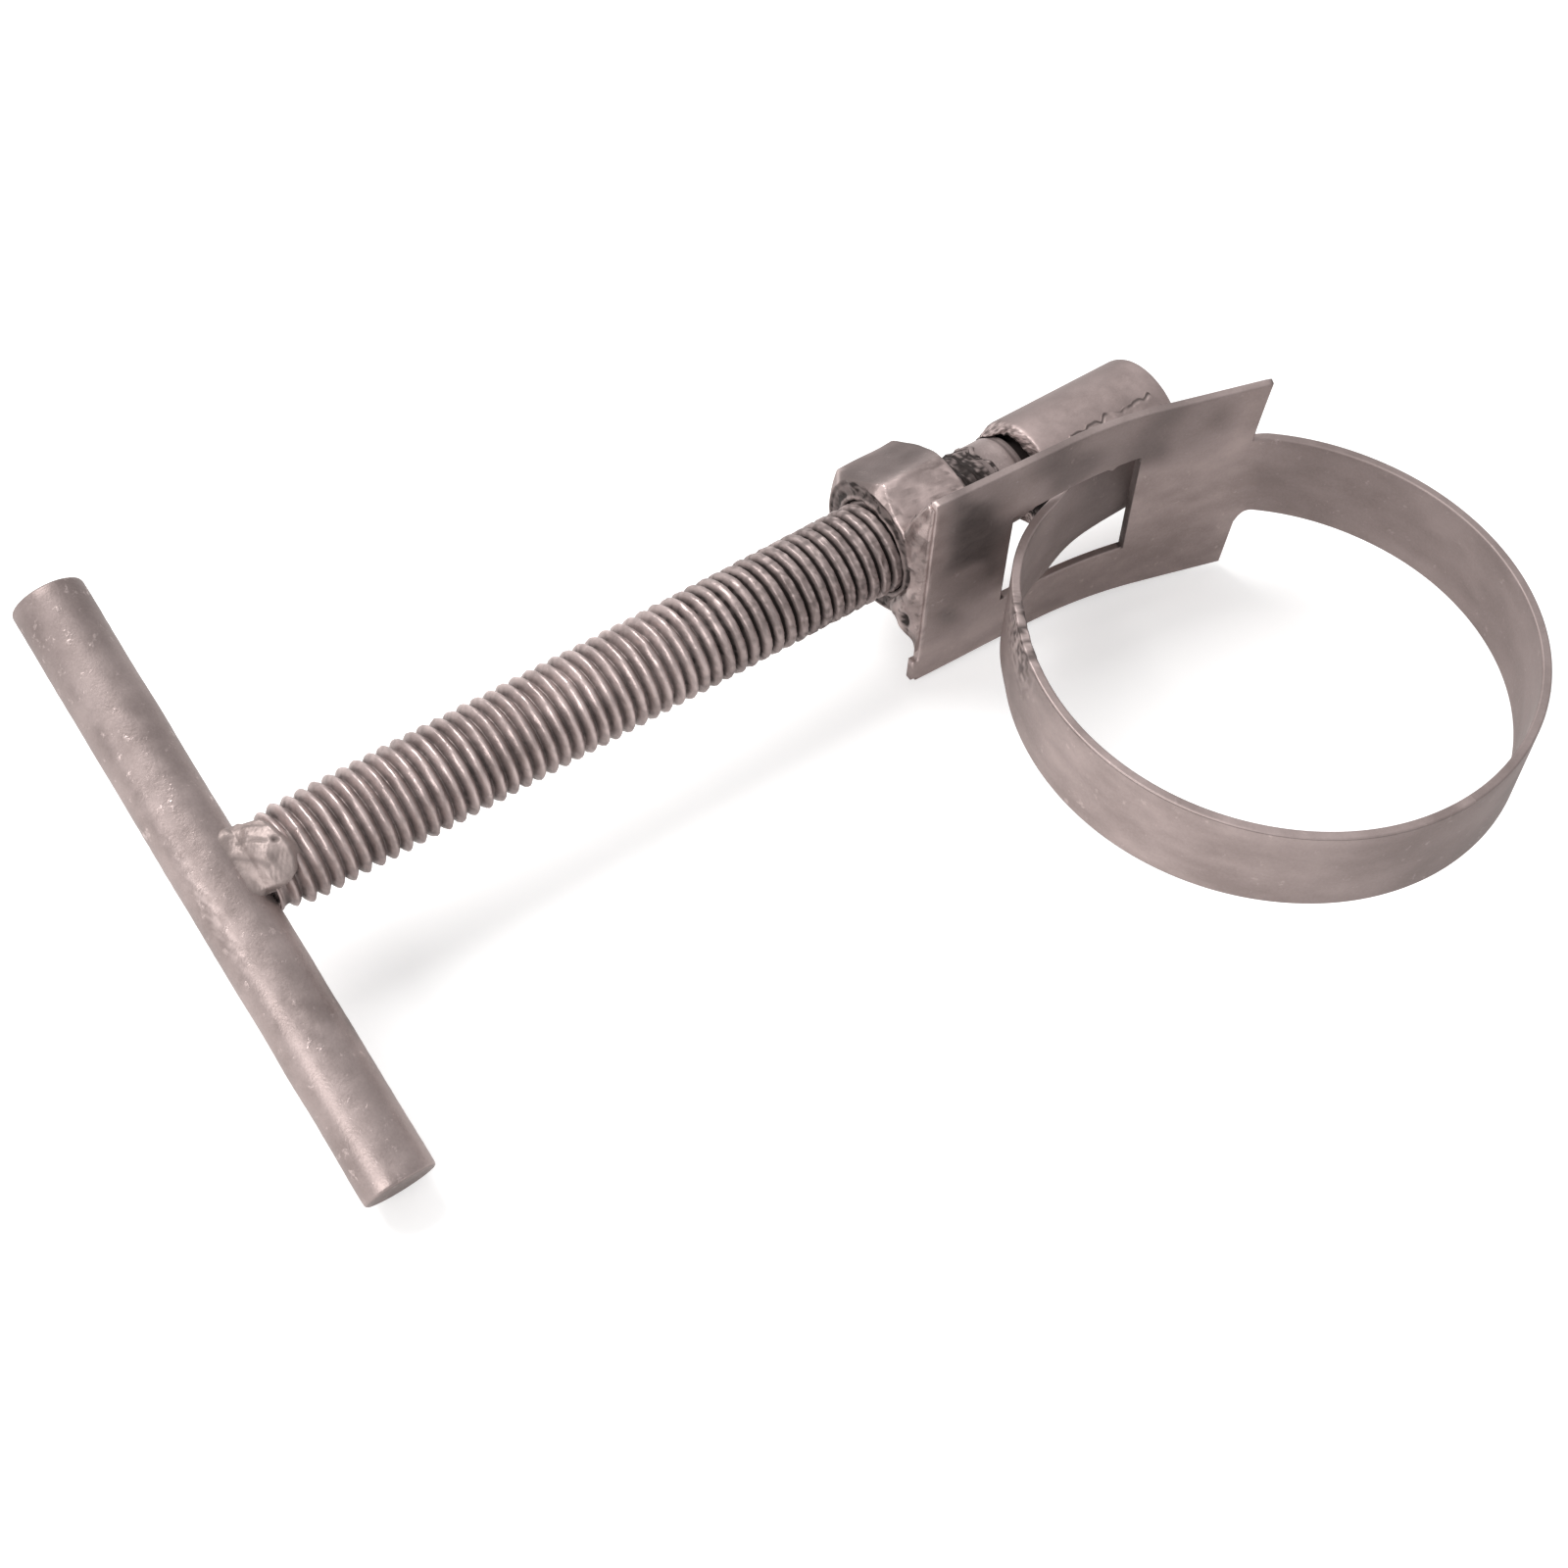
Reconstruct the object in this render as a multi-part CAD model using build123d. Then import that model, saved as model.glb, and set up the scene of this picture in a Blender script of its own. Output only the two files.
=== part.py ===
from build123d import *
import os
from math import cos, sin, radians, pi

# T-bar clamp: a sheet-steel band closed round a hose by a screw with a cross handle.
# Millimetres. Origin on the hose's axis at mid width of the band, +Z along the hose,
# +X along the screw in the direction that tightens the loop, the screw on the +Y side.

# Band: one blank, narrow round the hose and wide where it carries the nut
sheet = 1.15
strap_width = 13.0
seat_radius = 28.6
seat_to_tail = 33.7
seat_to_neck = 72.0
tail_shoulder_radius = 31.37
neck_shoulder_radius = 31.15
neck_heading = 138.4
neck_radius = 6.0
neck_turn = 25.3
plate_height = 32.0
plate_lead = 13.0
plate_arc_radius = 57.0
plate_tilt = 2.5
plate_run = 19.5

# Window in the plate, and the sheared right edge of the plate
window_start = 12.3
window_length = 18.1
window_bottom = 7.9
window_top_near = 6.95
window_top_far = 8.3
edge_back = 1.9
edge_slant = 0.8
corner_fillet = 2.0
burr_length = 0.75
burr_height = 3.4
burr_lift = 0.5

# Tail of the strap, from the loop through the window to the sleeve
tail_heading = 60.1
tail_bend_radius = 21.26
cup_length = 4.2
cup_lead = 11.6
cup_lead_radius = 16.4
tail_short = 0.6

# Nut, M12 with flats 18 mm apart
nut_flats = 18.0
nut_height = 10.4
nut_lead = 0.5
nut_face_radius = 8.7
nut_chamfer_angle = 30.0
nut_gap = 0.02

# Spindle, M12
thread_radius = 5.95
thread_clearance = 0.05
thread_beyond_nut = 3.6
thread_end_radius = 4.9
thread_end_taper = 4.0
thread_pitch = 1.75
turns_per_groove = 2
groove_depth = 0.95
shank_radius = 5.62
shank_length = 6.5
groove_radius = 4.7
groove_length = 3.3
head_radius = 5.6
head_length = 12.6
tip_chamfer = 0.6

# Cross handle
bar_radius = 4.36
bar_length = 76.8
bar_shift = 0.5
bar_angle = 19.8
bar_reach = 88.7
bar_edge = 0.3
bar_gap = 0.02

# Sleeve
sleeve_radius = 8.0
sleeve_drop = 1.6
sleeve_length = 19.5
sleeve_edge = 0.25
mouth_radius = 6.4
mouth_drop = 0.5
mouth_taper = 2.6
mouth_from_groove = 1.7
lip_thickness = 1.3
lip_hole_radius = 5.2
lip_hole_drop = 0.35
head_clearance = 0.06
thrust_gap = 0.1

# Welds
strap_gap = 0.05
sleeve_bead_angle = 26.0
sleeve_bead_start = 3.4
sleeve_bead_end = 0.8
sleeve_bead_height = 0.9
sleeve_bead_sunk = 0.3
nut_bead_radius = 1.2
nut_bead_length = 16.0
nut_bead_middle = 0.5
nut_web_lead = 0.3
nut_web_length = 3.0
nut_web_upper = [(-0.6, 4.0), (3.4, 4.5), (4.2, 9.0), (2.4, 13.5), (0.0, 15.2), (-0.6, 15.2)]
nut_web_lower = [(-0.6, 4.0), (3.0, 5.0), (4.4, 8.0), (1.4, 8.9), (0.0, 10.2), (-0.6, 10.2)]
handle_bead_side = 22.0
handle_bead_shift = 0.9
handle_bead_cut = 0.6
handle_bead_radius = 5.7
handle_bead_toe = 3.4
handle_bead_start = 0.5
handle_bead_rise = 2.0
handle_bead_reach = 5.3
handle_bead_fall = 2.0

FAR = 100.0


def unit(angle):
    """Unit vector in the XY plane at this angle in degrees."""
    return Vector(cos(radians(angle)), sin(radians(angle)))


def run(length):
    """A straight stretch of the band's centre line."""
    return (None, length)


def bend(radius, turn):
    """A bend of the band's centre line to the left, radius in mm and turn in degrees."""
    return (radius, turn)


def walk(point, heading, moves):
    """Stations (start, middle, end), each a point and its outward normal, along the moves."""
    stations = []
    for radius, amount in moves:
        if radius is None:
            end = point + unit(heading) * amount
            normal = unit(heading - 90)
            stations.append(((point, normal), None, (end, normal)))
            point = end
            continue
        centre = point - unit(heading - 90) * radius
        places = []
        for share in (0, 0.5, 1):
            out = unit(heading - 90 + amount * share)
            places.append((centre + out * radius, out))
        stations.append(tuple(places))
        heading += amount
        point = places[2][0]
    return stations, point, heading


def side(stations, offset):
    """Edges of the line that lies at this offset outside the centre line."""
    edges = []
    for start, middle, end in stations:
        a = start[0] + start[1] * offset
        b = end[0] + end[1] * offset
        if middle is None:
            edges.append(Line(a, b))
        else:
            edges.append(ThreePointArc(a, middle[0] + middle[1] * offset, b))
    return edges


def ribbon(stations, height):
    """Sheet of this height bent along the stations, centred on Z = 0."""
    outer = side(stations, sheet / 2)
    inner = side(stations, -sheet / 2)
    caps = [Line(outer[0] @ 0, inner[0] @ 0), Line(outer[-1] @ 1, inner[-1] @ 1)]
    face = make_face(outer + inner + caps)
    return extrude(face, height / 2, both=True)


def prism_y(points, y0, y1):
    """Prism along Y between y0 and y1 on a closed outline of (x, z) points."""
    outline = Polyline([(x, y0, z) for x, z in points], close=True)
    return extrude(make_face(outline), amount=y1 - y0, dir=(0, 1, 0))


def rod_x(x0, x1, radius, y, z=0.0):
    """Round solid along X from x0 to x1."""
    place = Plane(origin=(x0, y, z), x_dir=(0, 1, 0), z_dir=(1, 0, 0))
    return extrude(place * Circle(radius), amount=x1 - x0)


# Centre line of the band: the seat's arc at the bottom, a wider shoulder each side of it,
# a tight neck where the sheet widens into the plate, and the plate's own gentle curve
seat_line = seat_radius + sheet / 2
tail_shoulder_line = tail_shoulder_radius + sheet / 2
neck_shoulder_line = neck_shoulder_radius + sheet / 2
tail_shoulder = unit(270 - seat_to_tail) * (seat_line - tail_shoulder_line)
neck_shoulder = unit(270 + seat_to_neck) * (seat_line - neck_shoulder_line)
neck_start = neck_shoulder + unit(neck_heading - 90) * neck_shoulder_line
plate_heading = neck_heading + neck_turn
plate_moves = [
    bend(neck_radius, neck_turn),
    run(plate_lead),
    bend(plate_arc_radius, 180 - plate_tilt - plate_heading),
    run(plate_run),
]
plate_stations, plate_end, plate_end_heading = walk(neck_start, neck_heading, plate_moves)

# Places that follow from the plate's free end
plate_back = plate_end + unit(plate_end_heading - 90) * (sheet / 2)
spindle_y = plate_back.Y + nut_gap + nut_flats / 2
nut_near = plate_back.X - nut_lead
nut_far = nut_near + nut_height
thread_end = nut_far + thread_beyond_nut
groove_start = thread_end + shank_length
head_start = groove_start + groove_length
head_end = head_start + head_length
bar_x = nut_near - bar_reach
spindle_start = bar_x + bar_radius + bar_gap
mouth_x = groove_start + mouth_from_groove
sleeve_y = spindle_y - sleeve_drop
sleeve_end = mouth_x + sleeve_length
full_x = mouth_x + mouth_taper

# Tail: from the left shoulder up, round the bend, where it begins to cup, and level under
# the sleeve
cup_inner = sleeve_radius + strap_gap
cup_outer = cup_inner + sheet
cup_radius = (cup_inner + cup_outer) / 2
tail_y = sleeve_y - cup_radius
tail_start_angle = 90.0 + tail_heading
tail_root = tail_shoulder + unit(tail_start_angle) * tail_shoulder_line
tail_rise = tail_bend_radius * (1 - cos(radians(tail_heading)))
tail_run = (tail_y - tail_rise - tail_root.Y) / sin(radians(tail_heading))
tail_flat_x = (
    tail_root.X + cos(radians(tail_heading)) * tail_run + tail_bend_radius * sin(radians(tail_heading))
)
cup_half_angle = strap_width / 2 / cup_radius * 180 / pi
cup_x = tail_flat_x + cup_length
cup_start = Vector(
    tail_flat_x - tail_bend_radius * sin(radians(cup_lead)),
    tail_y - tail_bend_radius * (1 - cos(radians(cup_lead))),
)
tail_end = sleeve_end - tail_short


def cup_section(point, heading, radius):
    """Section of the strap across its line, cupped to this radius with its hollow outwards."""
    out = unit(heading - 90)
    hub = point + out * radius
    half_angle = strap_width / 2 / radius * 180 / pi
    rims = []
    for angle in (-half_angle, 0, half_angle):
        rims.append(Vector(0, 0, sin(radians(angle))) - out * cos(radians(angle)))
    outer = [hub + r * (radius + sheet / 2) for r in rims]
    inner = [hub + r * (radius - sheet / 2) for r in rims]
    edges = [
        ThreePointArc(*outer),
        Line(outer[2], inner[2]),
        ThreePointArc(*reversed(inner)),
        Line(inner[0], outer[0]),
    ]
    return make_face(edges)


def flat_section(point, heading):
    """Section of the strap across its line where it is still flat."""
    half = Vector(0, 0, strap_width / 2)
    front = point - unit(heading - 90) * (sheet / 2)
    back = point + unit(heading - 90) * (sheet / 2)
    return make_face(Polyline([front - half, front + half, back + half, back - half], close=True))


def make_tail_cup():
    """Strap's end, formed from flat to a cup that lies round the sleeve's underside."""
    level = 180
    first = flat_section(cup_start, level + cup_lead)
    between = cup_section(Vector(tail_flat_x, tail_y), level, cup_lead_radius)
    full = cup_section(Vector(cup_x, tail_y), level, cup_radius)
    change = loft([first, between, full], ruled=True)
    return change + extrude(full, amount=tail_end - cup_x, dir=(1, 0, 0))


def window_cutter():
    """The window, punched square with a top edge that rises towards the neck."""
    x0 = plate_back.X + window_start
    x1 = x0 + window_length
    corners = [(x0, -window_bottom), (x1, -window_bottom), (x1, window_top_far), (x0, window_top_near)]
    return prism_y(corners, 0, FAR)


def edge_cutters():
    """Waste beside the strap at the plate's sheared right edge, above and below."""
    half_strap = strap_width / 2
    half_plate = plate_height / 2 + 1
    edge = neck_start.X - edge_back
    above = [
        (edge - edge_slant / 2, half_strap),
        (FAR, half_strap),
        (FAR, half_plate),
        (edge + edge_slant / 2, half_plate),
    ]
    upper = prism_y(above, 0, FAR)
    below = [
        (edge, -half_strap),
        (FAR, -half_strap),
        (FAR, -half_plate),
        (edge - edge_slant, -half_plate),
    ]
    lower = prism_y(below, 0, FAR)
    root = [e for e in lower.edges().filter_by(Axis.Y) if abs(e.center().X - edge) < 0.01]
    return upper, fillet(root, corner_fillet)


def shear_burr():
    """Small tab of torn sheet left at the lower corner of the plate's free end."""
    low = -plate_height / 2 + burr_lift
    back = plate_end + unit(plate_end_heading) * burr_length
    stations, _, _ = walk(back, plate_end_heading + 180, [run(burr_length + sheet)])
    tab = ribbon(stations, burr_height)
    return Pos(0, 0, low + burr_height / 2) * tab


def make_clamp_band():
    """Loop, tail and plate as one bent sheet."""
    loop_moves = [
        bend(tail_bend_radius, tail_heading - cup_lead),
        run(tail_run),
        bend(tail_shoulder_line, 180 - tail_heading - seat_to_tail),
        bend(seat_line, seat_to_tail + seat_to_neck),
        bend(neck_shoulder_line, neck_heading - seat_to_neck),
    ]
    loop_stations, _, _ = walk(cup_start, 180 + cup_lead, loop_moves)
    loop = ribbon(loop_stations, strap_width)
    plate = ribbon(plate_stations, plate_height) - window_cutter()
    upper, lower = edge_cutters()
    plate = plate - upper - lower + shear_burr()
    return loop + plate + make_tail_cup()


def make_hex_nut():
    """Hexagon with a flat towards the plate, chamfered at both ends, bored for the thread."""
    place = Plane(origin=(nut_near, spindle_y, 0), x_dir=(0, 0, 1), z_dir=(1, 0, 0))
    hexagon = RegularPolygon(nut_flats / 2, 6, major_radius=False, rotation=0)
    body = extrude(place * hexagon, amount=nut_height)
    corner = nut_flats / 2 / cos(radians(30)) + 1
    slope = (corner - nut_face_radius) * sin(radians(nut_chamfer_angle)) / cos(radians(nut_chamfer_angle))
    profile = [
        (nut_near, 0),
        (nut_near, nut_face_radius),
        (nut_near + slope, corner),
        (nut_far - slope, corner),
        (nut_far, nut_face_radius),
        (nut_far, 0),
    ]
    outline = Polyline([(x, spindle_y + r, 0) for x, r in profile], close=True)
    limit = revolve(make_face(outline), axis=Axis((0, spindle_y, 0), (1, 0, 0)))
    bore = rod_x(nut_near - 1, nut_far + 1, thread_radius + thread_clearance, spindle_y)
    return (body & limit) - bore


def thread_grooves(x0, x1):
    """Profile points of V grooves side by side from x0 towards x1, one for some turns of thread."""
    spacing = thread_pitch * turns_per_groove
    points = [(x0, thread_radius)]
    for k in range(int((x1 - x0) / spacing)):
        x = x0 + spacing * k
        points += [(x + spacing / 2, thread_radius - groove_depth), (x + spacing, thread_radius)]
    return points


def make_spindle():
    """Threaded rod turned down to a smooth shank, with a groove behind its head."""
    grooves = thread_grooves(spindle_start + thread_end_taper + thread_pitch / 2, nut_near)
    profile = [
        (spindle_start, 0),
        (spindle_start, thread_end_radius),
        (spindle_start + thread_end_taper, thread_radius),
        *grooves,
        (thread_end, thread_radius),
        (thread_end, shank_radius),
        (groove_start, shank_radius),
        (groove_start, groove_radius),
        (head_start, groove_radius),
        (head_start, head_radius),
        (head_end - tip_chamfer, head_radius),
        (head_end, head_radius - tip_chamfer),
        (head_end, 0),
    ]
    outline = Polyline([(x, spindle_y + r, 0) for x, r in profile], close=True)
    return revolve(make_face(outline), axis=Axis((0, spindle_y, 0), (1, 0, 0)))


def make_t_bar():
    """Round bar across the spindle's end, tilted with the screw's stop position."""
    along = Vector(0, cos(radians(bar_angle)), sin(radians(bar_angle)))
    start = Vector(bar_x, spindle_y, 0) + along * (bar_shift - bar_length / 2)
    place = Plane(origin=start, x_dir=(1, 0, 0), z_dir=along)
    bar = extrude(place * Circle(bar_radius), amount=bar_length)
    return chamfer(bar.edges().filter_by(GeomType.CIRCLE), bar_edge)


def make_handle_weld(bar, rod):
    """Bead over the joint of rod and bar, laid from one side only."""
    out = Vector(0, -sin(radians(handle_bead_side)), cos(radians(handle_bead_side)))
    hub = Vector(0, spindle_y, 0) + out * handle_bead_shift
    x0 = bar_x + handle_bead_start
    x1 = spindle_start + handle_bead_reach
    profile = [
        (x0, 0),
        (x0, handle_bead_toe),
        (x0 + handle_bead_rise, handle_bead_radius),
        (x1 - handle_bead_fall, handle_bead_radius),
        (x1, handle_bead_toe),
        (x1, 0),
    ]
    outline = Polyline([(x, hub.Y + r, hub.Z) for x, r in profile], close=True)
    bead = revolve(make_face(outline), axis=Axis(hub, (1, 0, 0)))
    place = Plane(origin=hub + out * handle_bead_cut, x_dir=(1, 0, 0), z_dir=out)
    laid = extrude(place * Rectangle(4 * bar_reach, 4 * bar_radius), amount=2 * bar_radius)
    return (bead & laid) - bar - rod


def nut_web(outline, mirror):
    """Weld in the corner of nut and plate, a prism on (height over the plate, z) points."""
    points = [(nut_near - nut_web_lead, plate_back.Y + y, z * mirror) for y, z in outline]
    face = make_face(Polyline(points, close=True))
    return extrude(face, amount=nut_web_length, dir=(1, 0, 0))


def make_nut_weld(nut, band):
    """Bead along the step from the nut's face to the plate's edge, with a web at each end."""
    place = Pos(nut_near + nut_lead / 2, plate_back.Y + nut_bead_radius / 2, nut_bead_middle)
    bead = place * Cylinder(nut_bead_radius, nut_bead_length)
    webs = nut_web(nut_web_upper, 1) + nut_web(nut_web_lower, -1)
    passage = rod_x(nut_near - FAR, nut_near + FAR, thread_radius + sheet, spindle_y)
    return (bead + webs) - nut - band - passage


def make_swivel_sleeve():
    """Closed tube whose mouth is peened in behind the spindle's head."""
    round_end = rod_x(full_x, sleeve_end, sleeve_radius, sleeve_y)
    far_rim = round_end.edges().filter_by(GeomType.CIRCLE).sort_by(Axis.X)[-1]
    round_end = chamfer(far_rim, sleeve_edge)
    across = dict(x_dir=(0, 1, 0), z_dir=(1, 0, 0))
    mouth = Plane(origin=(mouth_x, spindle_y - mouth_drop, 0), **across) * Circle(mouth_radius)
    shoulder = Plane(origin=(full_x, sleeve_y, 0), **across) * Circle(sleeve_radius)
    neck = loft([mouth, shoulder])
    bore = rod_x(mouth_x + lip_thickness, head_end + thrust_gap, head_radius + head_clearance, spindle_y)
    hole = rod_x(mouth_x - 1, mouth_x + lip_thickness + 0.1, lip_hole_radius, spindle_y - lip_hole_drop)
    return round_end + neck - bore - hole


def round_sleeve(x, angle, radius):
    """Point at this x, this angle from the sleeve's underside and this radius about it."""
    a = radians(angle)
    return Vector(x, sleeve_y - cos(a) * radius, sin(a) * radius)


def sleeve_bead(side_of_sleeve):
    """Bead along one edge of the cupped strap, with its toe up on the sleeve's side."""
    x0 = full_x + sleeve_bead_start - mouth_taper
    x1 = tail_end - sleeve_bead_end
    inside = sleeve_radius - sleeve_bead_sunk
    root = cup_half_angle + strap_gap / cup_outer * 180 / pi
    crown = root + sleeve_bead_angle / 2
    far = root + sleeve_bead_angle
    outer = round_sleeve(x0, root * side_of_sleeve, cup_outer)
    belly = round_sleeve(x0, crown * side_of_sleeve, sleeve_radius + sleeve_bead_height)
    toe = round_sleeve(x0, far * side_of_sleeve, inside)
    low = round_sleeve(x0, root * side_of_sleeve, inside)
    outline = [ThreePointArc(outer, belly, toe), Line(toe, low), Line(low, outer)]
    bead = extrude(make_face(outline), amount=x1 - x0, dir=(1, 0, 0))
    return bead - rod_x(full_x - FAR, FAR, sleeve_radius, sleeve_y)


def main():
    band = make_clamp_band()
    nut = make_hex_nut()
    rod = make_spindle()
    bar = make_t_bar()
    sleeve = make_swivel_sleeve()
    parts = {
        "clamp_band": band,
        "hex_nut": nut,
        "nut_weld": make_nut_weld(nut, band),
        "spindle": rod,
        "t_bar": bar,
        "handle_weld": make_handle_weld(bar, rod),
        "swivel_sleeve": sleeve,
        "sleeve_weld": sleeve_bead(1) + sleeve_bead(-1),
    }
    os.makedirs("parts", exist_ok=True)
    for name, shape in parts.items():
        export_step(shape, f"parts/{name}.step")


main()
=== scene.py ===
import bmesh
import bpy
import numpy as np
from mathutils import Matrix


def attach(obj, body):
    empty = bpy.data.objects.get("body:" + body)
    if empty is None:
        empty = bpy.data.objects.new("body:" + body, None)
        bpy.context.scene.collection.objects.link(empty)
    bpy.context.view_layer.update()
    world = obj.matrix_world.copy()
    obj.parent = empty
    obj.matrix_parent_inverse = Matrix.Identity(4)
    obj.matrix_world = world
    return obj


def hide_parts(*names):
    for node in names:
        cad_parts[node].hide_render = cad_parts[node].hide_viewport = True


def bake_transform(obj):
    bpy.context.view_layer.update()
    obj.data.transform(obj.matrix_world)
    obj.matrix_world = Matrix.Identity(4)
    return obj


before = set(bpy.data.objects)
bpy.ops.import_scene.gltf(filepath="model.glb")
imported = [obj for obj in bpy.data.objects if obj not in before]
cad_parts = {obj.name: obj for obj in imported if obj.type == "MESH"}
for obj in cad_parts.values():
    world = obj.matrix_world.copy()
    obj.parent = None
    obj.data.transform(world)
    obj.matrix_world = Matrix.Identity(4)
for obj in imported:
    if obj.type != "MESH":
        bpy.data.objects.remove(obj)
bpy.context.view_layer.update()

mm = 0.001


# The bench: a pale floor under the clamp, two soft lamps and an even sky.
# The clamp lies on the plate's lower edge, so the floor is level with that edge.
# The lens and the camera's place are those at which the solids cover the photograph.
floor_z = -17.2 * mm
scene = bpy.context.scene
scene.view_settings.view_transform = "Standard"

eye = bpy.data.cameras.new("eye")
eye.sensor_width = 36
eye.lens = 58.902
eye_stand = bpy.data.objects.new("eye", eye)
scene.collection.objects.link(eye_stand)
scene.camera = eye_stand
eye_right = np.array([0.81038378, -0.58470312, 0.03742176])
eye_up = np.array([0.45591972, 0.66943092, 0.58651466])
turned = np.eye(4)
turned[:3, 0] = eye_right
turned[:3, 1] = eye_up
turned[:3, 2] = np.cross(eye_right, eye_up)
turned[:3, 3] = np.array([-166.344, -114.053, 235.266]) * mm
eye_stand.matrix_world = turned.T.tolist()
eye.clip_start = 0.01


class Number:
    """A number on its way through a material. + - and * on it add Math nodes."""

    def __init__(self, finish, socket):
        self.finish = finish
        self.socket = socket

    def math(self, operation, a, b=0.0, clamp=False):
        settings = {"operation": operation, "use_clamp": clamp}
        return self.finish.node("ShaderNodeMath", settings, {0: a, 1: b})

    def __add__(self, other):
        return self.math("ADD", self, other)

    def __sub__(self, other):
        return self.math("SUBTRACT", self, other)

    def __rsub__(self, other):
        return self.math("SUBTRACT", other, self)

    def __mul__(self, other):
        return self.math("MULTIPLY", self, other)

    __radd__ = __add__
    __rmul__ = __mul__

    def within(self):
        """The number held between 0 and 1."""
        return self.math("ADD", self, 0.0, clamp=True)


class Finish:
    """A material being built. node() adds any node, its settings first, then its inputs."""

    def __init__(self, name):
        self.material = bpy.data.materials.new(name)
        self.material.use_nodes = True
        self.tree = self.material.node_tree
        self.tree.nodes.clear()

    def node(self, kind, settings=None, inputs=None, out=0):
        made = self.tree.nodes.new(kind)
        for key, value in (settings or {}).items():
            setattr(made, key, value)
        for key, value in (inputs or {}).items():
            if isinstance(value, Number):
                self.tree.links.new(value.socket, made.inputs[key])
            else:
                made.inputs[key].default_value = value
        return Number(self, made.outputs[out] if made.outputs else None)

    def ends_in(self, shader):
        self.node("ShaderNodeOutputMaterial", None, {"Surface": shader})
        return self.material


bench = Finish("bench_white")
seen = bench.node("ShaderNodeLightPath", out="Is Camera Ray")
paper = bench.node("ShaderNodeBsdfDiffuse", None, {"Color": (0.8, 0.79, 0.78, 1)})
glow = bench.node("ShaderNodeEmission", None, {"Color": (1, 1, 1, 1), "Strength": 0.42})
lit = bench.node("ShaderNodeAddShader", None, {0: paper, 1: glow})
bench_surface = bench.ends_in(bench.node("ShaderNodeMixShader", None, {0: seen, 1: paper, 2: lit}))

floor_mesh = bpy.data.meshes.new("floor")
reach = 3.0
corners = [(-reach, -reach, floor_z), (reach, -reach, floor_z),
           (reach, reach, floor_z), (-reach, reach, floor_z)]
floor_mesh.from_pydata(corners, [], [(0, 1, 2, 3)])
floor_mesh.materials.append(bench_surface)
floor = bpy.data.objects.new("floor", floor_mesh)
scene.collection.objects.link(floor)

sky = bpy.data.worlds.new("sky")
scene.world = sky
sky.use_nodes = True
sky_tree = sky.node_tree
air = sky_tree.nodes["Background"]
air.inputs["Color"].default_value = (0.98, 0.985, 1.0, 1)
air.inputs["Strength"].default_value = 0.55
bright = sky_tree.nodes.new("ShaderNodeBackground")
bright.inputs["Strength"].default_value = 1.0
ray = sky_tree.nodes.new("ShaderNodeLightPath")
choice = sky_tree.nodes.new("ShaderNodeMixShader")
sky_tree.links.new(ray.outputs["Is Camera Ray"], choice.inputs[0])
sky_tree.links.new(air.outputs[0], choice.inputs[1])
sky_tree.links.new(bright.outputs[0], choice.inputs[2])
sky_tree.links.new(choice.outputs[0], sky_tree.nodes["World Output"].inputs["Surface"])


def soft_lamp(name, place, aim, size, power):
    """Square lamp at a place, turned so that its -Z axis points at aim."""
    lamp = bpy.data.lights.new(name, "AREA")
    lamp.size = size
    lamp.energy = power
    stand = bpy.data.objects.new(name, lamp)
    scene.collection.objects.link(stand)
    back = np.array(place, float) - np.array(aim, float)
    back /= np.linalg.norm(back)
    side = np.cross((0.0, 1.0, 0.1), back)
    side /= np.linalg.norm(side)
    pose = np.eye(4)
    pose[:3, 0] = side
    pose[:3, 1] = np.cross(back, side)
    pose[:3, 2] = back
    pose[:3, 3] = place
    stand.matrix_world = pose.T.tolist()


soft_lamp("top_lamp", (-0.25, 0.55, 0.85), (-0.03, 0.02, 0.0), 0.6, 9.0)
soft_lamp("left_lamp", (-0.85, -0.25, 0.45), (-0.05, 0.0, 0.0), 0.5, 4.0)


# The sheet band: one blank of 1.15 mm sheet, 13 mm wide where it goes round the hose and
# 32 mm wide where it turns into the plate that carries the nut. Sheared, punched with a
# window, bent and then dipped in zinc, which leaves soft edges and a mottled skin.
sheet = 1.15
strap_half = 6.5
plate_half = 16.0
edge_round = 0.24


def unevenness(points, size, seed, waves=24):
    """Smooth random height, about -1 to 1: a sum of plane waves in random directions, of
    wavelengths near size, evaluated at every point."""
    rng = np.random.default_rng(seed)
    way = rng.normal(size=(waves, 3))
    way /= np.linalg.norm(way, axis=1)[:, None]
    way *= 2 * np.pi / (size * rng.uniform(0.7, 1.6, waves))[:, None]
    phase = rng.uniform(0, 2 * np.pi, waves)
    flat = points.reshape(-1, 3)
    total = np.zeros(len(flat))
    for w, p in zip(way, phase):
        total += np.sin(flat @ w + p)
    return (total / np.sqrt(waves / 2)).reshape(points.shape[:-1]) / 2


def smooth_step(x, low, high):
    """0 below low, 1 above high, and 3t^2 - 2t^3 between them."""
    t = np.clip((x - low) / (high - low), 0, 1)
    return t * t * (3 - 2 * t)


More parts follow.
